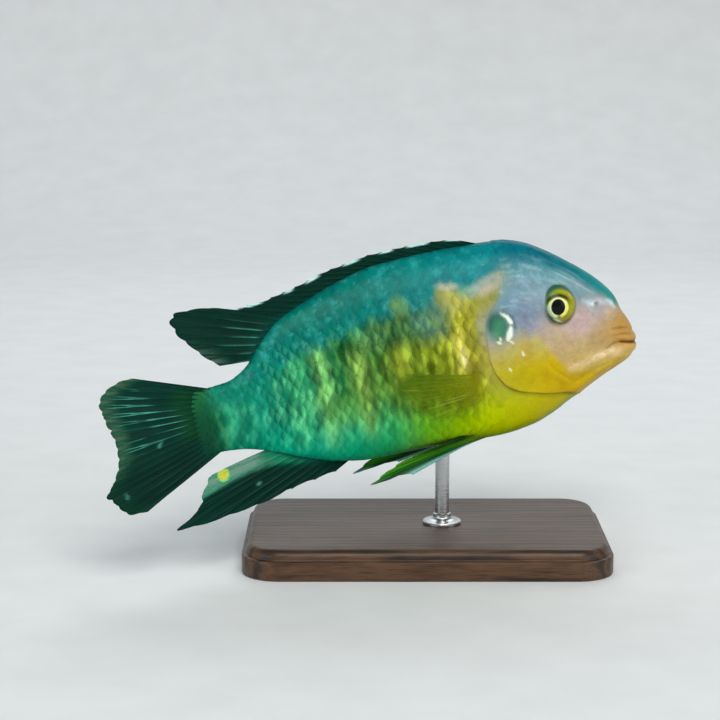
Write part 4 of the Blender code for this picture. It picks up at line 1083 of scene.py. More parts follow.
def socket_shade(points):
    """Dark in the groove round each eye, most behind and below, least in front."""
    shade = np.zeros(len(points))
    for _, hand in SIDES:
        local, opening = eye_local(points, hand)
        heading = np.degrees(np.arctan2(local[:, 1] * hand, local[:, 0]))
        toward = bump((heading - GROOVE_HEADING + 180.0) % 360.0 - 180.0, GROOVE_SPREAD)
        spread = (opening - 1.0 - 0.10 * toward) / (0.08 + 0.14 * toward)
        groove = (local[:, 2] > -1.5) * (1 - smoothstep(-0.2, 1.0, spread))
        shade = np.maximum(shade, groove * (0.1 + 0.75 * toward))
    return shade


# Eyes

PUPIL_CENTRE, PUPIL_RADII, EYE_TILT = (0.1, -0.16), (1.66, 1.86), 8.0
RING_CENTRE, RING_RADII = (0.12, -0.36), (2.56, 2.44)
# Tones of the iris, of the pale ring round the pupil and of the painted shade at the eye's rim, and
# where they lie: colour, strength, heading in degrees (0 is forward, 90 up) and spread.
IRIS_TONES = (
    ((122, 158, 20), 0.9, 100.0, 50.0),
    ((166, 164, 40), 0.8, 48.0, 30.0),
    ((164, 160, 34), 0.9, 5.0, 36.0),
    ((124, 158, 120), 0.85, 172.0, 34.0),
    ((96, 132, 108), 0.9, 222.0, 34.0),
    ((136, 124, 52), 0.8, 292.0, 30.0),
)
RING_TONES = (
    ((236, 234, 120), 1.0, 0.0, 42.0),
    ((232, 230, 66), 1.0, 308.0, 34.0),
    ((170, 190, 158), 1.0, 188.0, 50.0),
    ((92, 110, 40), 0.9, 266.0, 12.0),
)
RIM_SHADE_TONES = (
    ((158, 156, 60), 1.5, -14.0, 42.0),
    ((122, 158, 138), 1.0, 168.0, 36.0),
)
EYE_GLINT = ((1.3, -2.8, 0.12), (0.5, -3.5, 0.2), (-0.2, -4.0, 0.1))
# A painted highlight along the front of the rim, as (back, up, half width).
EYE_RIM_HIGHLIGHT = ((-2.9, 2.6, 0.0), (-3.4, 1.7, 0.14), (-3.7, 0.9, 0.05))


IRIS_RISE, IRIS_REACH = 0.10, 2.6


def make_eye(label, hand, look):
    """An eyeball with a domed front, a raised iris ring and a dark pupil."""
    front_rings, back_rings, around, back_depth = 64, 10, 96, 0.75 * EYE_DEPTH
    turn = np.linspace(0.0, math.tau, around, endpoint=False)
    reach = np.linspace(0.0, 1.0, front_rings)[1:] * EYE_RADIUS
    dome = EYE_DEPTH * np.sqrt(np.clip(1 - (reach / EYE_RADIUS) ** 2, 0.0, 1.0))
    height = dome + IRIS_RISE * bump(reach, IRIS_REACH)
    fall = np.linspace(0.0, 1.0, back_rings + 1)[1:-1] * math.pi / 2
    reaches = np.concatenate([reach, EYE_RADIUS * np.cos(fall)])
    heights = np.concatenate([height, -back_depth * np.sin(fall)])
    x, y = np.outer(reaches, np.cos(turn)), np.outer(reaches, np.sin(turn))
    local = np.stack([x, y, np.broadcast_to(heights[:, None], x.shape)], -1)
    flat = np.vstack([local.reshape(-1, 3), [[0.0, 0.0, EYE_DEPTH + IRIS_RISE], [0.0, 0.0, -back_depth]]])
    centre, axes = eye_axes(hand)
    obj = ringed(f"eyeball_{label}", place_points(flat @ axes.T + centre), len(local), around)
    give_colour(obj.data, paint_eye(flat, axes))
    scaled = flat[:, :2] / (2.2 * EYE_RADIUS)
    middle = np.where(flat[:, 2] >= 0, 0.25, 0.75)
    give_map(obj.data, np.stack([middle + scaled[:, 0] / 2, 0.5 + scaled[:, 1]], -1))
    obj.data.materials.append(look)
    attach(obj, "root")
    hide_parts(f"eye_{label}")


def paint_eye(local, axes):
    """Black pupil in a pale ring, then a dark arc and an iris that runs from green to olive and grey, with
    painted shade round its rim and painted highlights on it.
    """
    fish = local @ axes.T
    back, up = fish[:, 0], fish[:, 2]
    pupil = oval(back, up, PUPIL_CENTRE, PUPIL_RADII, EYE_TILT)
    ring = oval(back, up, RING_CENTRE, RING_RADII, EYE_TILT)
    heading = np.degrees(np.arctan2(up - RING_CENTRE[1], -(back - RING_CENTRE[0])))
    reach = np.hypot(local[:, 0], local[:, 1])
    fibres = smooth_noise(heading / 3.0 + 200.0, reach * 0.8, 71)
    fibres = fibres + 0.6 * smooth_noise(heading / 1.3 + 400.0, reach, 73)
    blotches = layered_noise(back * 1.3 + 20.0, up * 1.3 + 20.0, 79)

    def facing(middle, spread):
        """1 towards a heading in degrees."""
        return bump((heading - middle + 180.0) % 360.0 - 180.0, spread)

    def toned(colour, tones):
        """One colour all over, then the tones."""
        canvas = np.broadcast_to(srgb(*colour), fish.shape)
        coats = [(tone, np.clip(strength * facing(*where), 0.0, 1.0)) for tone, strength, *where in tones]
        return lay(canvas, *coats)

    outer = np.hypot((back + 0.5) / EYE_HALF_SIZES[0], (up + 0.3) / EYE_HALF_SIZES[1])
    # Painted shade: the iris darkens under the upper rim of the socket.
    top_rim_shade = smoothstep(0.76, 0.94, outer) * facing(92.0, 50.0)
    canvas = lay(toned((160, 166, 44), IRIS_TONES), ((46, 100, 66), 0.9 * top_rim_shade))
    canvas = canvas * (1 + 0.10 * fibres[:, None] + 0.10 * blotches[:, None])
    arc = bump(ring - 1.18, 0.2) * np.clip(1.2 * facing(125.0, 50.0) + 1.1 * facing(48.0, 36.0), 0.0, 1.0)
    pale = toned((206, 214, 134), RING_TONES) * (1 + 0.08 * fibres[:, None])
    return lay(
        canvas,
        ((22, 34, 0), 0.96 * arc),
        (pale, 1 - smoothstep(0.94, 1.03, ring)),
        ((246, 246, 206), 0.6 * bump(pupil - 1.12, 0.07) * (1 - facing(266.0, 20.0))),
        ((6, 10, 8), 1 - smoothstep(0.96, 1.04, pupil)),
        ((224, 232, 214), 0.8 * tapered(back, up, EYE_GLINT, 0.2)),
        # Painted shade round the eye's rim, from the socket, lighter in front and behind.
        (toned((44, 86, 74), RIM_SHADE_TONES), 0.85 * smoothstep(0.84, 0.98, outer)),
        # Painted shadow: a dark line at the lower rear of the rim.
        ((14, 34, 26), 0.92 * bump(outer - 0.9, 0.1) * facing(226.0, 36.0)),
        # Painted highlight at the front of the rim.
        ((214, 204, 146), 0.7 * tapered(back, up, EYE_RIM_HIGHLIGHT, 0.35)),
        ((20, 20, 18), smoothstep(0.0, -0.5, local[:, 2])),
    )


# Scales

BACK_STEP, ARC_STEP, ARC_REACH, WIDEST_COLUMN = 0.5, 0.25, 36.0, 180
TABLE_BACKS = np.arange(0.25, SKIN_LENGTH + BACK_STEP, BACK_STEP)
TABLE_DEGREES = np.linspace(0.0, 180.0, 2 * WIDEST_COLUMN + 1)
TABLE_ARCS = np.linspace(-ARC_REACH, ARC_REACH, 289)


def arc_tables():
    """Angles at distances up (positive) or down the skin from the level where it is widest."""
    side, up = section_point(TABLE_BACKS[:, None], TABLE_DEGREES[None, :])
    steps = np.hypot(np.diff(side, axis=1), np.diff(up, axis=1))
    run = np.concatenate([np.zeros((len(TABLE_BACKS), 1)), np.cumsum(steps, axis=1)], axis=1)
    arcs = run[:, WIDEST_COLUMN, None] - run
    angles = np.stack([np.interp(TABLE_ARCS, row[::-1], TABLE_DEGREES[::-1]) for row in arcs])
    return angles, arcs[:, 0], arcs[:, -1]


ARC_ANGLES, ARC_TOPS, ARC_BOTTOMS = arc_tables()


def angle_at_arc(back, arc):
    x = np.clip((back - TABLE_BACKS[0]) / BACK_STEP, 0, len(TABLE_BACKS) - 1.001)
    y = np.clip((arc - TABLE_ARCS[0]) / ARC_STEP, 0, len(TABLE_ARCS) - 1.001)
    i, j = x.astype(int), y.astype(int)
    u, v = x - i, y - j
    near = ARC_ANGLES[i, j] * (1 - v) + ARC_ANGLES[i, j + 1] * v
    far = ARC_ANGLES[i + 1, j] * (1 - v) + ARC_ANGLES[i + 1, j + 1] * v
    return near * (1 - u) + far * u


def top_arc(back):
    return np.interp(back, TABLE_BACKS, ARC_TOPS)


def bottom_arc(back):
    return np.interp(back, TABLE_BACKS, ARC_BOTTOMS)


# A scale's free edge is round: how far along its outermost rows end, how much farther its middle
# reaches, and the curve between.
EDGE_CORNER, EDGE_REACH, EDGE_CURVE = 0.42, 0.58, 2.3


def scale_template(grid):
    """Local places of a scale's points: along 0 at its root to 1 at its free edge, across -1 to 1."""
    x, y = np.meshgrid(np.linspace(0.0, 1.0, grid), np.linspace(-1.0, 1.0, grid), indexing="ij")
    curve = np.sqrt(np.clip(1 - (0.98 * np.abs(y)) ** EDGE_CURVE, 0.0, 1.0))
    return x * (EDGE_CORNER + EDGE_REACH * curve), y, x


# Where along a scale its centre lies, how far it is domed for its width, how deep its root is
# buried, how much thinner its free edge is, and the size of its patch on the unwrap.
SCALE_CENTRE, SCALE_DOME, ROOT_BURIED, EDGE_THINNING, SCALE_PATCH = 0.62, 0.022, 0.02, 0.6, 0.003


def make_scales(name, hand, backs, arcs, length, width, rise, sink, thickness, look, lift_at, grid=9):
    """One mesh of thin overlapping plates. Each scale's centre is at (backs, arcs) on one flank.

    length and width are each scale's own, rise is how far its free edge stands over its root, and
    sink lowers it into the skin, so that rows fade out where the skin is bare. lift_at gives the
    skin's height over the smooth body.
    """
    x, y, x_square = scale_template(grid)
    length, width, rise, sink = (values[:, None, None] for values in (length, width, rise, sink))
    back = backs[:, None, None] + (x - SCALE_CENTRE) * length
    arc = arcs[:, None, None] + y * width * (1 - 0.10 * (1 - x_square))
    # A scale that reaches over the belly's keel folds on to the other flank.
    low = bottom_arc(back)
    crossed = arc < low
    arc = np.where(crossed, 2 * low - arc, arc)
    hands = np.where(crossed, -hand, hand)
    angle = angle_at_arc(back, arc)
    # The root lies buried in the skin, and the middle is slightly domed.
    dome = SCALE_DOME * (1 - y**2) * width * smoothstep(0.0, 0.5, x)
    height = lift_at(back, angle) + (rise * x + dome - ROOT_BURIED - sink)
    sheet = thickness * (1 - EDGE_THINNING * x)
    count, flat_shape = grid * grid, (len(backs), grid * grid, 3)
    plates = [surface(back, angle, hands, h).reshape(flat_shape) for h in (height, height - sheet)]
    one = plate_faces(grid, grid)
    if hand > 0:
        one = one[:, ::-1]
    faces = (one[None] + np.arange(len(backs))[:, None, None] * 2 * count).reshape(-1, 4)
    obj = new_object(name, place_points(np.concatenate(plates, axis=1)).reshape(-1, 3), faces)
    obj.data.set_sharp_from_angle(angle=math.radians(35.0))
    colours = paint_scales(back, angle, arcs, x, y)
    # The far side of each plate is painted a fifth darker than the near side, as shade.
    give_colour(obj.data, np.concatenate([colours, colours * 0.8], axis=1).reshape(-1, 3))
    local = np.stack([x, y * 0.6, np.zeros_like(x)], -1).reshape(1, count, 3)
    local = np.broadcast_to(np.concatenate([local, local], axis=1), (len(backs), 2 * count, 3))
    give_vector(obj.data, local.reshape(-1, 3), "scale_place")
    spot = np.stack([x - 0.5, y / 2], -1).reshape(1, count, 2)
    turn = angle_at_arc(backs, np.maximum(arcs, bottom_arc(backs)))
    roots = flank_map(backs, turn, hand)[:, None, :]
    unwrap = roots + SCALE_PATCH * np.concatenate([spot, spot], axis=1)
    give_map(obj.data, unwrap.reshape(-1, 2))
    obj.data.materials.append(look)
    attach(obj, "root")


# The lateral line's two parts run between these backs. The upper one starts at this level and falls.
UPPER_PORES, LOWER_PORES, UPPER_LEVEL, UPPER_FALL = (35.0, 84.0), (80.0, 104.0), 9.6, 0.055


def lateral_line(back, arc):
    """1 on the two lines of pores: high along the trunk, then along the middle of the tail stalk."""
    level = UPPER_LEVEL - UPPER_FALL * (back - UPPER_PORES[0])
    high = band(back, *UPPER_PORES, 0.5) * (np.abs(arc - level) < 0.95)
    low = band(back, *LOWER_PORES, 0.5) * (np.abs(arc) < 0.8)
    return high + low


# How far a scale keeps a colour of its own, how much scales differ, the strength of the dashes all
# over and where they are clear, and how dark the free edges are.
OWN_COLOUR, TONE_SPREAD, FAINT_DASH, CLEAR_DASH, DARK_EDGE = 0.12, 0.12, 0.08, 0.25, 0.34


def paint_scales(back, angle, arcs, x, y):
    """Body colours. On the flank each scale has an upright pale dash before a dark free edge."""
    up = section_point(back, angle)[1]
    count = back.shape[0]
    shape = (count, -1, 3)
    base = paint_body(back.ravel(), up.ravel(), angle.ravel()).reshape(shape)
    exposed = (slice(None), 2 * back.shape[1] // 3, back.shape[2] // 2)
    centre_back, centre_up = back[exposed], up[exposed]
    middle = paint_body(centre_back, centre_up, angle[exposed])[:, None, :]
    base = base * (1 - OWN_COLOUR) + middle * OWN_COLOUR
    random = np.random.default_rng(count)
    tone = 1 + TONE_SPREAD * random.uniform(-1.0, 1.0, (count, 1, 1))
    clear_rows = band(centre_back, 39.0, 92.0, 4.0) * band(centre_up, -3.0, 19.0, 5.0)
    faint = band(centre_back, 36.0, 108.0, 4.0) * (1 - 0.6 * smoothstep(19.0, 25.0, centre_up))
    uneven = np.clip(1 + 1.2 * random.uniform(-1.0, 1.0, (count, 1)), 0.0, 2.0)
    strength = (FAINT_DASH * faint + CLEAR_DASH * clear_rows)[:, None] * uneven
    flat_x, flat_y = x.reshape(1, -1), y.reshape(1, -1)
    # The exposed part of a scale runs from about half its length to its free edge.
    swing = np.cos((flat_x + 0.05 * flat_y**2 - 0.71) * math.tau / 0.52)
    lens = 1 - smoothstep(0.66, 1.0, np.abs(flat_y))
    pale = smoothstep(0.0, 0.9, swing) * lens * strength * 1.4
    dark = np.maximum(np.clip(-swing, 0.0, 1.0), 0.2 * (1 - lens)) * strength
    edge = smoothstep(0.93, 1.0, flat_x + 0.03 * np.abs(flat_y)) * faint[:, None]
    canvas = base * tone
    canvas = canvas * (1 + 0.42 * pale[..., None]) + srgb(70, 66, 20) * 0.5 * pale[..., None]
    shadow = base * 0.34 + srgb(0, 60, 48) * 0.22
    pore = bump(flat_y, 0.09) * band(flat_x, 0.55, 0.86, 0.04) * lateral_line(centre_back, arcs)[:, None]
    return lay(
        canvas,
        (shadow, np.clip(0.85 * dark, 0.0, 0.9)),
        (base * 0.55, DARK_EDGE * edge),
        (base * 0.4, 0.35 * np.clip(pore, 0.0, 1.0)),
    )


def lattice(pitch_at, row_share, first, last, row_count):
    """Scale places in rows along the body, each row half a step from the next."""
    places = [first]
    while places[-1] < last:
        places.append(places[-1] + float(pitch_at(places[-1])))
    steps = np.arange(len(places))
    backs, rows = [], []
    for row in range(-row_count, row_count + 1):
        at = np.interp(steps[:-1] + 0.5 * (row % 2), steps, places)
        backs.append(at)
        rows.append(np.full(len(at), row))
    backs, rows = np.concatenate(backs), np.concatenate(rows)
    pitch = pitch_at(backs)
    squeeze = 1 - 0.008 * np.abs(rows)
    return backs, rows * pitch * row_share * squeeze, pitch


FLANK_PITCH = smooth_through(
    (20.0, 30.0, 36.0, 44.0, 60.0, 80.0, 100.0, 112.0),
    (1.9, 2.2, 2.5, 2.7, 2.6, 2.25, 1.75, 1.3),
)
CROWN_PITCH = smooth_through((10.0, 20.0, 36.0), (1.15, 1.45, 2.1))
# Where the coat is parted in two pieces on each flank, and the angle round the body up to which
# the gill cover has no opening.
COAT_PARTED, NAPE_ANGLE = 62.0, 55.0
# Rows up and down from the widest level, the distance between rows as a share of the pitch, and
# where the rows start and end, for the flank's large scales and the crown's small ones.
FLANK_ROWS = {"row_share": 0.80, "first": 20.0, "last": 111.0, "row_count": 18}
CROWN_ROWS = {"row_share": 0.78, "first": 11.0, "last": 34.0, "row_count": 26}
# The length, half width and rise of a scale's free edge for its pitch, the least rise, and how
# thick it is.
FLANK_SCALE, CROWN_SCALE = (1.95, 0.86, 0.034, 0.04, 0.08), (1.8, 0.84, 0.05, 0.02, 0.06)


def jittered(values, pitch, share, seed):
    return values + np.random.default_rng(seed).uniform(-share, share, len(values)) * pitch


def scale_sizes(pitch, form, raised):
    """The sizes of scales of one form. raised is 0 where they lie flat."""
    length, width, rise, least_rise, _ = form
    return {
        "length": pitch * length,
        "width": pitch * width,
        "rise": (rise * pitch + least_rise) * raised,
    }


def make_coat(look):
    """Large scales on the trunk and tail stalk of both flanks, small ones on the crown."""
    backs, arcs, pitch = lattice(FLANK_PITCH, **FLANK_ROWS)
    angles = angle_at_arc(backs, arcs)
    past_gill = backs - GILL_EDGE(angles)
    # The throat between the gill covers is a bare membrane.
    throat = smoothstep(112.0, 126.0, angles) * (1 - smoothstep(32.0, 38.0, backs))
    ragged_end = 105.5 + 3.0 * np.sin(arcs * 2.1) ** 2
    keep = (arcs < top_arc(backs) - 0.2 * pitch) & (arcs > bottom_arc(backs) - 0.35 * pitch)
    keep &= (backs < ragged_end) & (past_gill > np.where(angles < NAPE_ANGLE, -1.5, -0.1)) & (throat < 0.3)
    backs, arcs, pitch, throat = (values[keep] for values in (backs, arcs, pitch, throat))
    tail_end = smoothstep(100.0, 109.0, backs)
    backs, arcs = jittered(backs, pitch, 0.05, 3), jittered(arcs, pitch, 0.04, 5)
    angles = angle_at_arc(backs, arcs)
    # Scales lie flatter on the back and towards the tail fin.
    flat_back = 0.3 * smoothstep(18.0, 26.0, section_point(backs, angles)[1])
    first_rows = 1 - smoothstep(-1.5, 2.5, backs - GILL_EDGE(angles))
    body = {
        "backs": backs,
        "arcs": arcs,
        **scale_sizes(pitch, FLANK_SCALE, 1 - flat_back - 0.5 * tail_end),
        "sink": 0.3 * throat + 0.09 * tail_end + first_rows * np.where(angles < NAPE_ANGLE, 0.12, 0.06),
    }
    backs, arcs, pitch = lattice(CROWN_PITCH, **CROWN_ROWS)
    angles = angle_at_arc(backs, arcs)
    scaled = head_scaling(backs, angles)
    keep = (scaled > 0.3) & (arcs < top_arc(backs) - 0.2 * pitch)
    keep &= backs - GILL_EDGE(angles) < np.where(angles < NAPE_ANGLE, -0.8, -0.9)
    backs, arcs, pitch, scaled = (values[keep] for values in (backs, arcs, pitch, scaled))
    crown = {
        "backs": jittered(backs, pitch, 0.08, 7),
        "arcs": jittered(arcs, pitch, 0.06, 9),
        **scale_sizes(pitch, CROWN_SCALE, scaled),
        "sink": 0.05 * (1 - scaled),
    }
    front = body["backs"] < COAT_PARTED
    for label, hand in SIDES:
        for part, chosen in (("front", front), ("rear", ~front)):
            part_body = {key: values[chosen] for key, values in body.items()}
            name = f"scales_{label}_{part}"
            make_scales(name, hand, thickness=FLANK_SCALE[-1], look=look, lift_at=trunk_lift, **part_body)
        name = f"head_scales_{label}"
        thickness = CROWN_SCALE[-1]
        make_scales(name, hand, thickness=thickness, look=look, lift_at=head_lift, grid=7, **crown)


# Fins

def fin_grid(roots, tips, columns_per_gap, rows, spine_count, scallop, spine_scallop, ragged, seed):
    """Middle surface of a fin: marks across it, shares along its rays, and points in fish coordinates."""
    last = len(roots) - 1
    marks = np.linspace(0.0, last, last * columns_per_gap + 1)
    numbers = np.arange(last + 1, dtype=float)
    root, tip = (
        np.stack([smooth_through(numbers, column)(marks) for column in np.array(ends).T], -1)
        for ends in (roots, tips)
    )
    off_ray = np.abs(marks - np.round(marks)) * 2.0
    spiny = marks < spine_count - 0.5
    depth = np.where(spiny, spine_scallop, scallop)
    notch = np.where(spiny, np.sqrt(off_ray), off_ray**2)
    rough = ragged * (layered_noise(marks * 2.3, marks * 0.0 + 0.5, seed) - 0.2)
    reach = np.clip(1.0 - depth * notch - np.maximum(rough, 0.0), 0.3, 1.0)
    along = np.linspace(0.0, 1.0, rows)
    share = along[:, None] * reach[None, :]
    middle = root[None] + (tip - root)[None] * share[..., None]
    return marks, along, share, middle


# How far apart the branches of a soft ray stand, as shares of the gap between rays, how wide a ray
# is at its root and how much it narrows, and how much higher a spine stands.
BRANCH, TWIG, RAY_WIDTH, RAY_NARROWING, SPINE_RISE = 0.17, 0.06, 0.13, 0.06, 1.25
# A membrane's share lost at its margin, its least thickness, its wave, and the joints of its rays.
WEB_THINNING, LEAST_WEB, FIN_WAVE, JOINT_DEPTH, JOINT_RATE = 0.35, 0.05, 0.12, 0.10, 150.0


def ray_ridges(marks, share, spine_count):
    """Height of the rays over the membrane, 0 to 1. Soft rays split in two towards the margin."""
    off = marks - np.round(marks)
    spiny = (marks < spine_count - 0.5)[None, :]
    off = np.broadcast_to(off[None, :], share.shape)
    split = np.where(spiny, 0.0, BRANCH * smoothstep(0.45, 0.95, share))
    again = np.where(spiny, 0.0, TWIG * smoothstep(0.78, 1.0, share))
    width = RAY_WIDTH - RAY_NARROWING * smoothstep(0.3, 1.0, share)
    ridge = np.zeros(share.shape)
    for first in (-1, 1):
        for second in (-1, 1):
            ridge = np.maximum(ridge, bump(off - first * split - second * again, width))
    return ridge * np.where(spiny, SPINE_RISE, 1.0)


def make_fin(
    name, node, roots, tips, painter, look, to_world=place, columns_per_gap=12, rows=36,
    spine_count=0, scallop=0.03, spine_scallop=0.12, ragged=0.0, seed=1, membrane=0.11,
    ray_root=0.42, ray_tip=0.16,
):
    """A closed fin mesh: rays raised on both faces of a thin, slightly waved membrane."""
    marks, along, share, middle = fin_grid(
        roots, tips, columns_per_gap, rows, spine_count, scallop, spine_scallop, ragged, seed
    )
    ridge = ray_ridges(marks, share, spine_count)
    jointed = 1 + JOINT_DEPTH * np.sin(share * JOINT_RATE)
    joints = np.where((marks < spine_count - 0.5)[None, :], 1.0, jointed)
    height = (ray_root + (ray_tip - ray_root) * share) * ridge * joints
    half = np.maximum(membrane * (1 - WEB_THINNING * share), LEAST_WEB) + height
    world = to_world(middle[..., 0], middle[..., 1], middle[..., 2])
    normal = np.cross(np.gradient(world, axis=1), np.gradient(world, axis=0))
    normal /= np.maximum(np.linalg.norm(normal, axis=-1, keepdims=True), 1e-12)
    ripple = FIN_WAVE * share * np.sin(marks * 1.9 + share * 5.0 + seed)
    centre = world + normal * (ripple * MM)[..., None]
    shift = normal * (half * MM)[..., None]
    points = np.vstack([(centre + shift).reshape(-1, 3), (centre - shift).reshape(-1, 3)])
    obj = new_object(name, points, outward(points, plate_faces(*share.shape)))
    grid_marks = np.broadcast_to(marks[None, :], share.shape)
    colours, alpha = painter(grid_marks, share, middle[..., 0], middle[..., 2], np.clip(ridge, 0.0, 1.0))
    give_colour(obj.data, np.vstack([colours.reshape(-1, 3)] * 2), np.concatenate([alpha.ravel()] * 2))
    flat_marks = (grid_marks / marks[-1]).ravel()
    flat_along = np.broadcast_to(along[:, None], share.shape).ravel()
    half_map = np.stack([0.02 + 0.46 * flat_marks, 0.02 + 0.96 * flat_along], -1)
    give_map(obj.data, np.vstack([half_map, half_map + np.array([0.5, 0.0])]))
    obj.data.materials.append(look)
    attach(obj, "root")
    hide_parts(node)


DORSAL_SPINES, DORSAL_RAYS = 18, 9
DORSAL_START, LAST_SPINE_BACK, DORSAL_END = 31.5, 77.5, 91.5
FOLDED_HEIGHT = smooth_through(
    (31.0, 37.0, 42.0, 52.0, 61.0, 71.0, 77.0, 82.0, 86.5, 91.0),
    (0.5, 1.2, 1.9, 2.3, 2.6, 3.6, 4.1, 5.0, 7.2, 11.4),
)
DORSAL_LOBE = (
    (93.0, 29.4),
    (97.3, 31.0),
    (102.2, 32.2),
    (107.4, 32.7),
    (109.4, 30.9),
    (108.2, 27.6),
    (105.6, 24.3),
    (102.8, 20.9),
    (99.6, 17.9),
)
ROOT_SINK = 0.9


def dark_fin_base(marks, share, ridge, root_colour, web_colour, ray_colour):
    canvas = ramp(share, ((0.0, root_colour), (0.22, web_colour), (1.0, web_colour)))
    patchy = layered_noise(marks * 0.9, share * 5.0, 83)
    return lay(canvas * (1 + 0.25 * patchy[..., None]), (ray_colour, 0.45 * ridge))


def any_band(x, spans, soft):
    """1 inside any of the (start, end) spans."""
    return np.max([band(x, start, end, soft) for start, end in spans], axis=0)


# Where the dorsal fin's margin is pale, by back.
DORSAL_EDGE_SPANS = (
    (36.6, 40.2), (44.8, 49.4), (53.2, 56.0), (61.4, 65.0), (71.4, 74.6), (78.4, 80.2), (86.4, 91.4),
    (92.2, 96.2),
)


def paint_dorsal(marks, share, back, up, ridge):
    spiny = marks < DORSAL_SPINES - 0.5
    edge = smoothstep(np.where(spiny, 0.79, 0.92), np.where(spiny, 0.90, 0.96), share)
    bright = mottle(marks * 1.7, share * 3.2, 89, -0.1, 0.5)
    reach = 0.46 + 0.24 * smooth_noise(marks * 1.3, 0.5, 91)
    streaks = band(marks, 21.0, 26.2, 0.4) * smoothstep(0.06, 0.14, share) * smoothstep(0.5, 0.95, ridge)
    streaks = streaks * (1 - smoothstep(-0.1, 0.1, share - reach))
    clear = smoothstep(22.0, 26.0, marks) * smoothstep(0.45, 1.0, share)
    canvas = lay(
        dark_fin_base(marks, share, ridge, (0, 64, 56), (0, 44, 34), (0, 50, 40)),
        ((190, 238, 234), 0.95 * edge * any_band(back, DORSAL_EDGE_SPANS, 0.9)),
        ((96, 186, 160), 0.8 * streaks * (0.35 + 0.65 * bright)),
        ((10, 96, 66), 0.5 * clear * (1 - ridge)),
    )
    return canvas, 1 - 0.35 * clear * (1 - ridge)


def make_dorsal(look):
    spine_roots = np.linspace(DORSAL_START, LAST_SPINE_BACK, DORSAL_SPINES)
    ray_roots = np.linspace(LAST_SPINE_BACK + 1.9, DORSAL_END, DORSAL_RAYS)
    lean = np.linspace(6.0, 12.5, DORSAL_SPINES)
    tip_backs = spine_roots + lean
    tips = [(b, 0.0, float(back_line(b) + FOLDED_HEIGHT(b))) for b in tip_backs]
    tips += [(b, 0.0, u) for b, u in DORSAL_LOBE]
    roots = [(b, 0.0, float(back_line(b)) - ROOT_SINK) for b in [*spine_roots, *ray_roots]]
    make_fin(
        "dorsal", "dorsal_fin", roots, tips, paint_dorsal, look, rows=30,
        spine_count=DORSAL_SPINES, spine_scallop=0.07, ray_root=0.17, ray_tip=0.1,
    )


ANAL_START, ANAL_END = 72.5, 91.5
ANAL_OUTLINE = (
    (77.0, -14.7),
    (82.5, -15.1),
    (88.5, -15.5),
    (95.5, -16.4),
    (102.0, -16.5),
    (110.0, -16.5),
    ANAL_TIP,
    (112.6, -12.8),
    (110.6, -9.6),
    (107.6, -6.2),
    (102.6, -5.4),
)
EGG_SPOT, EGG_RADIUS = (104.5, -6.8), 1.6
# The anal fin is dark below this line, by back, and clear above and behind it.
ANAL_DARK_EDGE = smooth_through(
    (72.0, 76.0, 85.0, 95.0, 103.0, 111.0, 118.0),
    (-12.5, -11.3, -9.6, -8.2, -9.2, -10.9, -14.6),
)


def paint_anal(marks, share, back, up, ridge):
    patch = partial(blob, back, up)
    ragged = layered_noise(marks * 1.4, share * 4.0, 93)
    clear = smoothstep(-0.8, 1.0, up - ANAL_DARK_EDGE(back) + 0.7 * ragged) * smoothstep(0.0, 0.12, share)
    from_spot = np.hypot(back - EGG_SPOT[0], up - EGG_SPOT[1]) / EGG_RADIUS + 0.06 * ragged
    canvas = lay(
        dark_fin_base(marks, share, ridge, (0, 84, 66), (0, 44, 34), (0, 58, 46)),
        ((14, 134, 98), 0.95 * clear),
        ((70, 170, 138), 0.4 * clear * ridge),
        ((126, 214, 110), 1 - smoothstep(0.92, 1.16, from_spot)),
        ((206, 208, 74), 1 - smoothstep(0.6, 0.95, from_spot)),
        ((216, 190, 84), 0.6 * patch((EGG_SPOT[0] - 0.1, EGG_SPOT[1] + 0.1), (0.5, 0.8))),
        ((120, 190, 170), 0.7 * patch((96.2, -11.6), (0.35, 0.5))),
    )
    alpha = 1 - clear * (0.46 - 0.25 * ridge) * smoothstep(0.05, 0.4, share)
    return canvas, np.maximum(alpha, 1 - smoothstep(0.95, 1.15, from_spot))


def make_anal(look):
    root_backs = np.linspace(ANAL_START, ANAL_END, len(ANAL_OUTLINE))
    roots = [(b, 0.0, float(belly_line(b)) + ROOT_SINK) for b in root_backs]
    tips = [(b, 0.0, u) for b, u in ANAL_OUTLINE]
    make_fin(
        "anal", "anal_fin", roots, tips, paint_anal, look,
        spine_count=3, rows=48, columns_per_gap=16,
    )


TAIL_RAYS = 18
TAIL_OUTLINE = (
    (0.0, 121.0, 21.4),
    (0.07, 124.4, 21.7),
    (0.14, 128.4, 20.5),
    (0.22, 130.4, 18.2),
    (0.34, 129.6, 13.4),
    (0.46, 128.4, 8.6),
    (0.57, 128.5, 4.2),
    (0.68, 130.6, 0.3),
    (0.78, 133.8, -3.4),
    (0.85, 131.0, -5.2),
    (0.92, 130.2, -8.2),
    (1.0, 124.6, -9.0),
)
TAIL_SPECKS = (
    ((129.0, -3.2, 0.05), (128.6, -4.4, 0.3)),
    ((117.4, 5.5, 0.05), (118.4, 4.6, 0.35)),
)


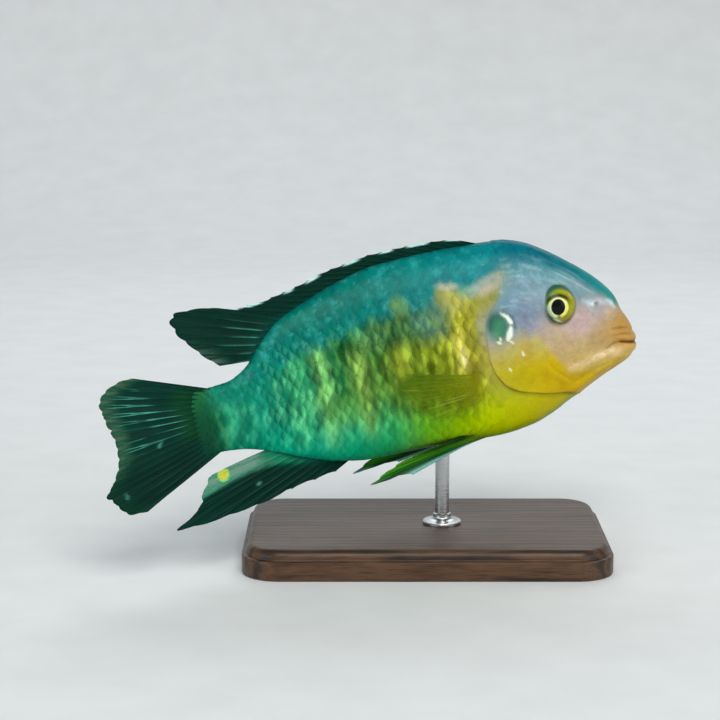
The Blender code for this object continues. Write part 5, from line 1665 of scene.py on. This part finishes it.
def paint_tail(marks, share, back, up, ridge):
    ragged = layered_noise(marks * 1.5, share * 3.0, 101)
    low = smoothstep(9.5, 13.0, marks + 0.6 * ragged)
    bright = mottle(marks * 1.3 + 3.0, share * 2.6, 97, -0.25, 0.35)
    streaks = band(marks, 1.2, 9.6, 0.6) * band(share, 0.30, 0.93, 0.1) * smoothstep(0.6, 0.95, ridge)
    margin = smoothstep(0.80, 0.97, share + 0.06 * ragged) * (1 - 0.8 * low)
    canvas = lay(
        dark_fin_base(marks, share, ridge, (2, 60, 38), (2, 50, 40), (4, 62, 50)),
        ((14, 72, 32), 0.6 * band(share, 0.16, 0.36, 0.1) * band(marks, 1.0, 11.0, 1.5)),
        ((0, 42, 32), 0.9 * low * smoothstep(0.12, 0.36, share)),
        ((84, 178, 156), 0.85 * streaks * bright),
        ((16, 88, 50), 0.75 * margin * (1 - 0.5 * bright * ridge)),
        *[((90, 180, 160), 0.6 * tapered(back, up, speck, 0.4)) for speck in TAIL_SPECKS],
    )
    return canvas, 1 - 0.28 * margin * (1 - 0.7 * ridge)


def make_tail(look):
    shares = np.linspace(0.0, 1.0, TAIL_RAYS)
    marks = [row[0] for row in TAIL_OUTLINE]
    backs = np.interp(shares, marks, [row[1] for row in TAIL_OUTLINE])
    ups = np.interp(shares, marks, [row[2] for row in TAIL_OUTLINE])
    top, bottom = float(back_line(BODY_LENGTH)) - 0.5, float(belly_line(BODY_LENGTH)) + 0.5
    roots = [(BODY_LENGTH - 1.5, 0.0, top + (bottom - top) * s) for s in shares]
    tips = list(zip(backs, np.zeros(TAIL_RAYS), ups))
    make_fin(
        "tail", "tail_fin", roots, tips, paint_tail, look, rows=52, columns_per_gap=14,
        scallop=0.012, ragged=0.035, seed=4, ray_root=0.34, ray_tip=0.12,
    )


PECTORAL_RAYS = 14
PECTORAL_ROOT_TOP, PECTORAL_ROOT_BOTTOM = (38.0, 1.8), (38.6, -3.8)
PECTORAL_ANGLES = smooth_through((0.0, 0.5, 1.0), (13.0, -1.0, -24.0))
PECTORAL_LENGTHS = smooth_through((0.0, 0.22, 0.6, 1.0), (21.0, 24.2, 20.0, 9.5))
PECTORAL_STANDOFF, PECTORAL_FLARE, PECTORAL_ROOT_OFF, PECTORAL_RAISED = 3.0, 7.0, 0.85, 0.7
# Pale rays that catch the light.
PECTORAL_STROKES = (
    ((60.0, 2.7, 0.0), (57.5, 2.3, 0.12), (55.5, 1.9, 0.0)),
    ((44.5, -2.3, 0.0), (50.0, -2.7, 0.16), (55.0, -3.2, 0.0)),
    ((46.5, -4.2, 0.0), (50.0, -4.8, 0.12), (53.5, -5.4, 0.0)),
    ((43.5, -1.6, 0.0), (47.0, -1.8, 0.08), (50.5, -1.9, 0.0)),
)


def paint_pectoral(marks, share, back, up, ridge):
    canvas = lay(
        ramp(share, ((0.0, (160, 156, 12)), (0.3, (122, 134, 8)), (1.0, (78, 122, 22)))),
        ((60, 100, 12), 0.6 * bump(marks - 1.6, 2.6) * smoothstep(0.3, 0.7, share)),
        ((120, 136, 14), 0.5 * ridge * band(share, 0.2, 0.9, 0.12)),
        *[((192, 198, 78), 0.8 * tapered(back, up, stroke, 0.2)) for stroke in PECTORAL_STROKES],
    )
    upper = 1 - smoothstep(3.0, 9.0, marks)
    alpha = 0.8 - (0.6 - 0.34 * upper) * smoothstep(0.05, 0.7, share) + 0.18 * ridge
    alpha = alpha * (1 - 0.8 * smoothstep(0.78, 1.0, share)) * (1 - 0.6 * smoothstep(11.0, 13.0, marks))
    return canvas, np.clip(alpha, 0.0, 0.95) * (0.1 + 0.9 * smoothstep(0.0, 0.3, share))


def make_pectoral(label, hand, look):
    shares = np.linspace(0.0, 1.0, PECTORAL_RAYS)
    top, bottom = np.array(PECTORAL_ROOT_TOP), np.array(PECTORAL_ROOT_BOTTOM)
    starts = top + (bottom - top) * shares[:, None]
    headings = np.radians(PECTORAL_ANGLES(shares))
    lengths = PECTORAL_LENGTHS(shares)
    ends = starts + np.stack([np.cos(headings), np.sin(headings)], -1) * lengths[:, None]
    roots = [(b, 0.0, u) for b, u in starts]
    tips = [(b, 0.0, u) for b, u in ends]

    def off_the_flank(back, _, up):
        away = back - PECTORAL_ROOT_TOP[0]
        sunk = 1.1 * (1 - smoothstep(0.3, 3.6, away + 0.5 * np.sin(up * 2.4)))
        standoff = PECTORAL_ROOT_OFF - sunk + PECTORAL_STANDOFF * smoothstep(0.0, PECTORAL_FLARE, away)
        return place(back, (flank_side(back, up) + standoff) * hand, up + PECTORAL_RAISED)

    make_fin(
        f"pectoral_{label}", f"pectoral_fin_{label}", roots, tips, paint_pectoral, look,
        to_world=off_the_flank, membrane=0.06, ray_root=0.06, ray_tip=0.04, rows=34, scallop=0.012,
    )


PELVIC_ROOT_FRONT, PELVIC_ROOT_REAR = (40.4, -15.0), (43.6, -13.2)
PELVIC_TIPS = (
    (60.0, 6.4, -18.6),
    (71.0, 6.4, -18.4),
    (67.0, 6.5, -16.6),
    (62.5, 6.6, -15.2),
    (57.5, 6.8, -14.2),
    (52.5, 7.0, -13.6),
)
# The pelvic fins' colours, by ray from the front.
PELVIC_COLOURS = (
    (0.0, (10, 50, 24)),
    (0.8, (16, 70, 20)),
    (1.6, (40, 132, 24)),
    (3.0, (62, 126, 16)),
    (4.2, (24, 76, 12)),
    (5.0, (14, 56, 14)),
)


def paint_pelvic(marks, share, back, up, ridge):
    canvas = lay(
        ramp(marks, PELVIC_COLOURS),
        ((120, 132, 10), 0.6 * (1 - smoothstep(0.0, 0.3, share))),
        ((130, 204, 190), 0.9 * bump(marks - 0.05, 0.22) * smoothstep(0.1, 0.25, share)),
        ((130, 204, 190), 0.8 * bump(marks - 1.0, 0.16) * smoothstep(0.8, 0.95, share)),
        ((96, 150, 40), 0.35 * ridge * band(marks, 1.4, 4.0, 0.4)),
    )
    return canvas, np.ones(share.shape)


def make_pelvic(label, hand, look):
    shares = np.linspace(0.0, 1.0, len(PELVIC_TIPS))
    front, rear = PELVIC_ROOT_FRONT, PELVIC_ROOT_REAR
    root_backs, root_ups = (front[i] + (rear[i] - front[i]) * shares for i in (0, 1))
    root_sides, root_ups = off_flank(root_backs, root_ups, -0.5)
    roots = list(zip(root_backs - 0.8, root_sides * hand, root_ups))
    tips = [(b, s * hand, u) for b, s, u in PELVIC_TIPS]
    make_fin(
        f"pelvic_{label}", f"pelvic_fin_{label}", roots, tips, paint_pelvic, look,
        spine_count=1, rows=40, columns_per_gap=22, scallop=0.04, seed=6,
    )


# Stand

# The base's edge from the floor up to a small step, as (in from the outline, height). Over the step
# the edge is a quarter of an oval, this wide and starting at this height.
BASE_EDGE = (
    (0.5, 0.0), (0.12, 0.12), (0.0, 0.5), (0.0, 4.2), (0.12, 4.5), (0.5, 4.65), (0.9, 4.68), (1.0, 4.8),
)
BASE_ROUNDING, BASE_SHOULDER, BASE_TOP_INSET, CORNER_STEPS = 1.9, 5.0, 4.2, 18
# The rod's foot, its round collar, and how far its top reaches into the belly.
FOOT_EDGE, FOOT_DISH, FOOT_RISE, COLLAR, ROD_OVERLAP = 0.15, 2.3, 0.9, 0.42, 0.15


def make_base(look):
    """A plinth with round corners and a moulded edge."""
    half_length, half_width = BASE_LENGTH / 2 - BASE_CORNER, BASE_WIDTH / 2 - BASE_CORNER
    profile = list(BASE_EDGE)
    for angle in np.radians(np.linspace(0.0, 90.0, 9)):
        inset = BASE_EDGE[-1][0] + BASE_ROUNDING * (1 - math.cos(angle))
        profile.append((inset, BASE_SHOULDER + (BASE_THICKNESS - BASE_SHOULDER) * math.sin(angle)))
    profile.append((BASE_TOP_INSET, BASE_THICKNESS))
    rings = []
    for inset, height in profile:
        ring = []
        for quarter, (sx, sy) in enumerate(((1, 1), (-1, 1), (-1, -1), (1, -1))):
            for step in range(CORNER_STEPS + 1):
                angle = math.radians(90.0 * (quarter + step / CORNER_STEPS))
                x = sx * half_length + (BASE_CORNER - inset) * math.cos(angle)
                y = sy * half_width + (BASE_CORNER - inset) * math.sin(angle)
                ring.append((x - BASE_SHIFT_BACK, y, height))
        rings.append(ring)
    obj = solid_rings("base", rings, 40.0)
    obj.data.materials.append(look)
    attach(obj, "root")
    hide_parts("stand_base")


def make_rod(look, skin):
    """A turned rod with a dished foot. Its top meets the belly."""
    sides = 64
    belly = BVHTree.FromObject(skin, bpy.context.evaluated_depsgraph_get())
    circle = np.linspace(0.0, math.tau, sides, endpoint=False)
    bottom = BASE_THICKNESS
    foot, collar = FOOT_RADIUS, ROD_RADIUS + COLLAR
    inner = foot - FOOT_EDGE
    profile = [(inner, 0.0), (foot, 0.12), (foot, 0.55), (inner, 0.75)]
    for turn in np.radians(np.linspace(0.0, 90.0, 10)[1:]):
        profile.append((inner - FOOT_DISH * math.sin(turn), 0.85 + FOOT_RISE * (1 - math.cos(turn))))
    profile += [(collar, 1.95), (collar, 2.35), (ROD_RADIUS + 0.25, 2.5), (ROD_RADIUS, 2.6)]
    rings = [[(r * math.cos(a), r * math.sin(a), bottom + z) for a in circle] for r, z in profile]
    top_ring = []
    for a in circle:
        x, y = ROD_RADIUS * math.cos(a), ROD_RADIUS * math.sin(a)
        hit = belly.ray_cast(Vector((x * MM, y * MM, bottom * MM)), Vector((0.0, 0.0, 1.0)))
        top_ring.append((x, y, hit[0].z / MM + ROD_OVERLAP))
    rings.append(top_ring)
    obj = solid_rings("rod", rings, 35.0)
    obj.data.materials.append(look)
    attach(obj, "root")
    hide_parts("stand_rod")


# Room, lights and camera

def make_room():
    look = Look("pale_floor", Roughness=0.75)
    grain = look.noise(look.place(), 60.0, 2.0)
    dark, light = (0.74, 0.76, 0.77, 1.0), (0.78, 0.80, 0.81, 1.0)
    look.link(look.mix("MIX", look.vary(grain, 0.0, 1.0), dark, light), "Base Color")
    half, front, depth, bend, wall = 8.0, -8.0, 0.55, 0.35, 4.0
    turns = np.radians(np.linspace(0.0, 90.0, 13))
    steps = [(front, 0.0)] + [(depth + bend * math.sin(a), bend * (1 - math.cos(a))) for a in turns]
    steps.append((depth + bend, wall))
    points = np.array([[(x, y, z) for x in (-half, half)] for y, z in steps])
    floor = new_object("floor", points.reshape(-1, 3), grid_quads(len(steps), 2)[:, ::-1])
    floor.data.materials.append(look.material)


# Name, place, width and height, power and colour of each light. All of them face the fish.
LIGHTS = (
    ("key", (0.20, -1.10, 1.20), (0.9, 0.7), 14.8, (1.0, 0.98, 0.95)),
    ("fill", (-1.20, -0.90, 0.48), (1.0, 0.8), 6.0, (0.94, 0.97, 1.0)),
    ("front", (1.10, -0.80, 0.40), (0.7, 0.7), 4.0, (1.0, 1.0, 1.0)),
    ("rim", (0.05, 0.50, 0.50), (0.6, 0.25), 1.1, (0.92, 0.98, 1.0)),
)
LIGHT_TARGET = (0.0, 0.0, 0.045)
WORLD_COLOUR, WORLD_STRENGTH = (0.86, 0.90, 0.92, 1.0), 0.30


def make_lights():
    for name, stands_at, size, power, colour in LIGHTS:
        data = bpy.data.lights.new(name, "AREA")
        data.shape = "RECTANGLE"
        data.size, data.size_y = size
        data.energy = power
        data.color = colour
        light = bpy.data.objects.new(name, data)
        light.location = stands_at
        facing = Vector(LIGHT_TARGET) - Vector(stands_at)
        light.rotation_euler = facing.to_track_quat("-Z", "Y").to_euler()
        bpy.context.scene.collection.objects.link(light)
    world = bpy.data.worlds.new("studio")
    world.use_nodes = True
    background = world.node_tree.nodes["Background"]
    background.inputs["Color"].default_value = WORLD_COLOUR
    background.inputs["Strength"].default_value = WORLD_STRENGTH
    bpy.context.scene.world = world
    bpy.context.scene.view_settings.view_transform = "Standard"


def make_camera():
    """The photo's view: from the fish's right, a little above, the snout at its place in the frame."""
    forward = np.array([0.0, math.cos(CAMERA_ELEVATION), -math.sin(CAMERA_ELEVATION)])
    up = np.array([0.0, math.sin(CAMERA_ELEVATION), math.cos(CAMERA_ELEVATION)])
    right = np.array([1.0, 0.0, 0.0])
    middle = FRAME_PX / 2
    snout = place(0.0, 0.0, 0.0) / MM
    aim = snout - (right * (SNOUT_PX[0] - middle) + up * (middle - SNOUT_PX[1])) * MM_PER_PX
    data = bpy.data.cameras.new("camera")
    data.sensor_width = SENSOR
    data.lens = SENSOR * CAMERA_DISTANCE / (FRAME_PX * MM_PER_PX)
    data.clip_start = 0.01
    camera = bpy.data.objects.new("camera", data)
    turn = Matrix((tuple(right), tuple(up), tuple(-forward))).transposed().to_4x4()
    camera.matrix_world = Matrix.Translation(Vector((aim - forward * CAMERA_DISTANCE) * MM)) @ turn
    bpy.context.scene.collection.objects.link(camera)
    bpy.context.scene.camera = camera


make_camera()
make_room()
make_lights()
skin = make_skin(skin_look())
make_coat(scale_look())
eye_gloss = eye_look()
dark_fin, clear_fin = fin_look("dark_fin"), fin_look("clear_fin")
make_dorsal(dark_fin)
make_anal(dark_fin)
make_tail(dark_fin)
for side_label, side_hand in SIDES:
    make_eye(side_label, side_hand, eye_gloss)
    make_pectoral(side_label, side_hand, clear_fin)
    make_pelvic(side_label, side_hand, clear_fin)
make_base(wood_look())
make_rod(steel_look(), skin)
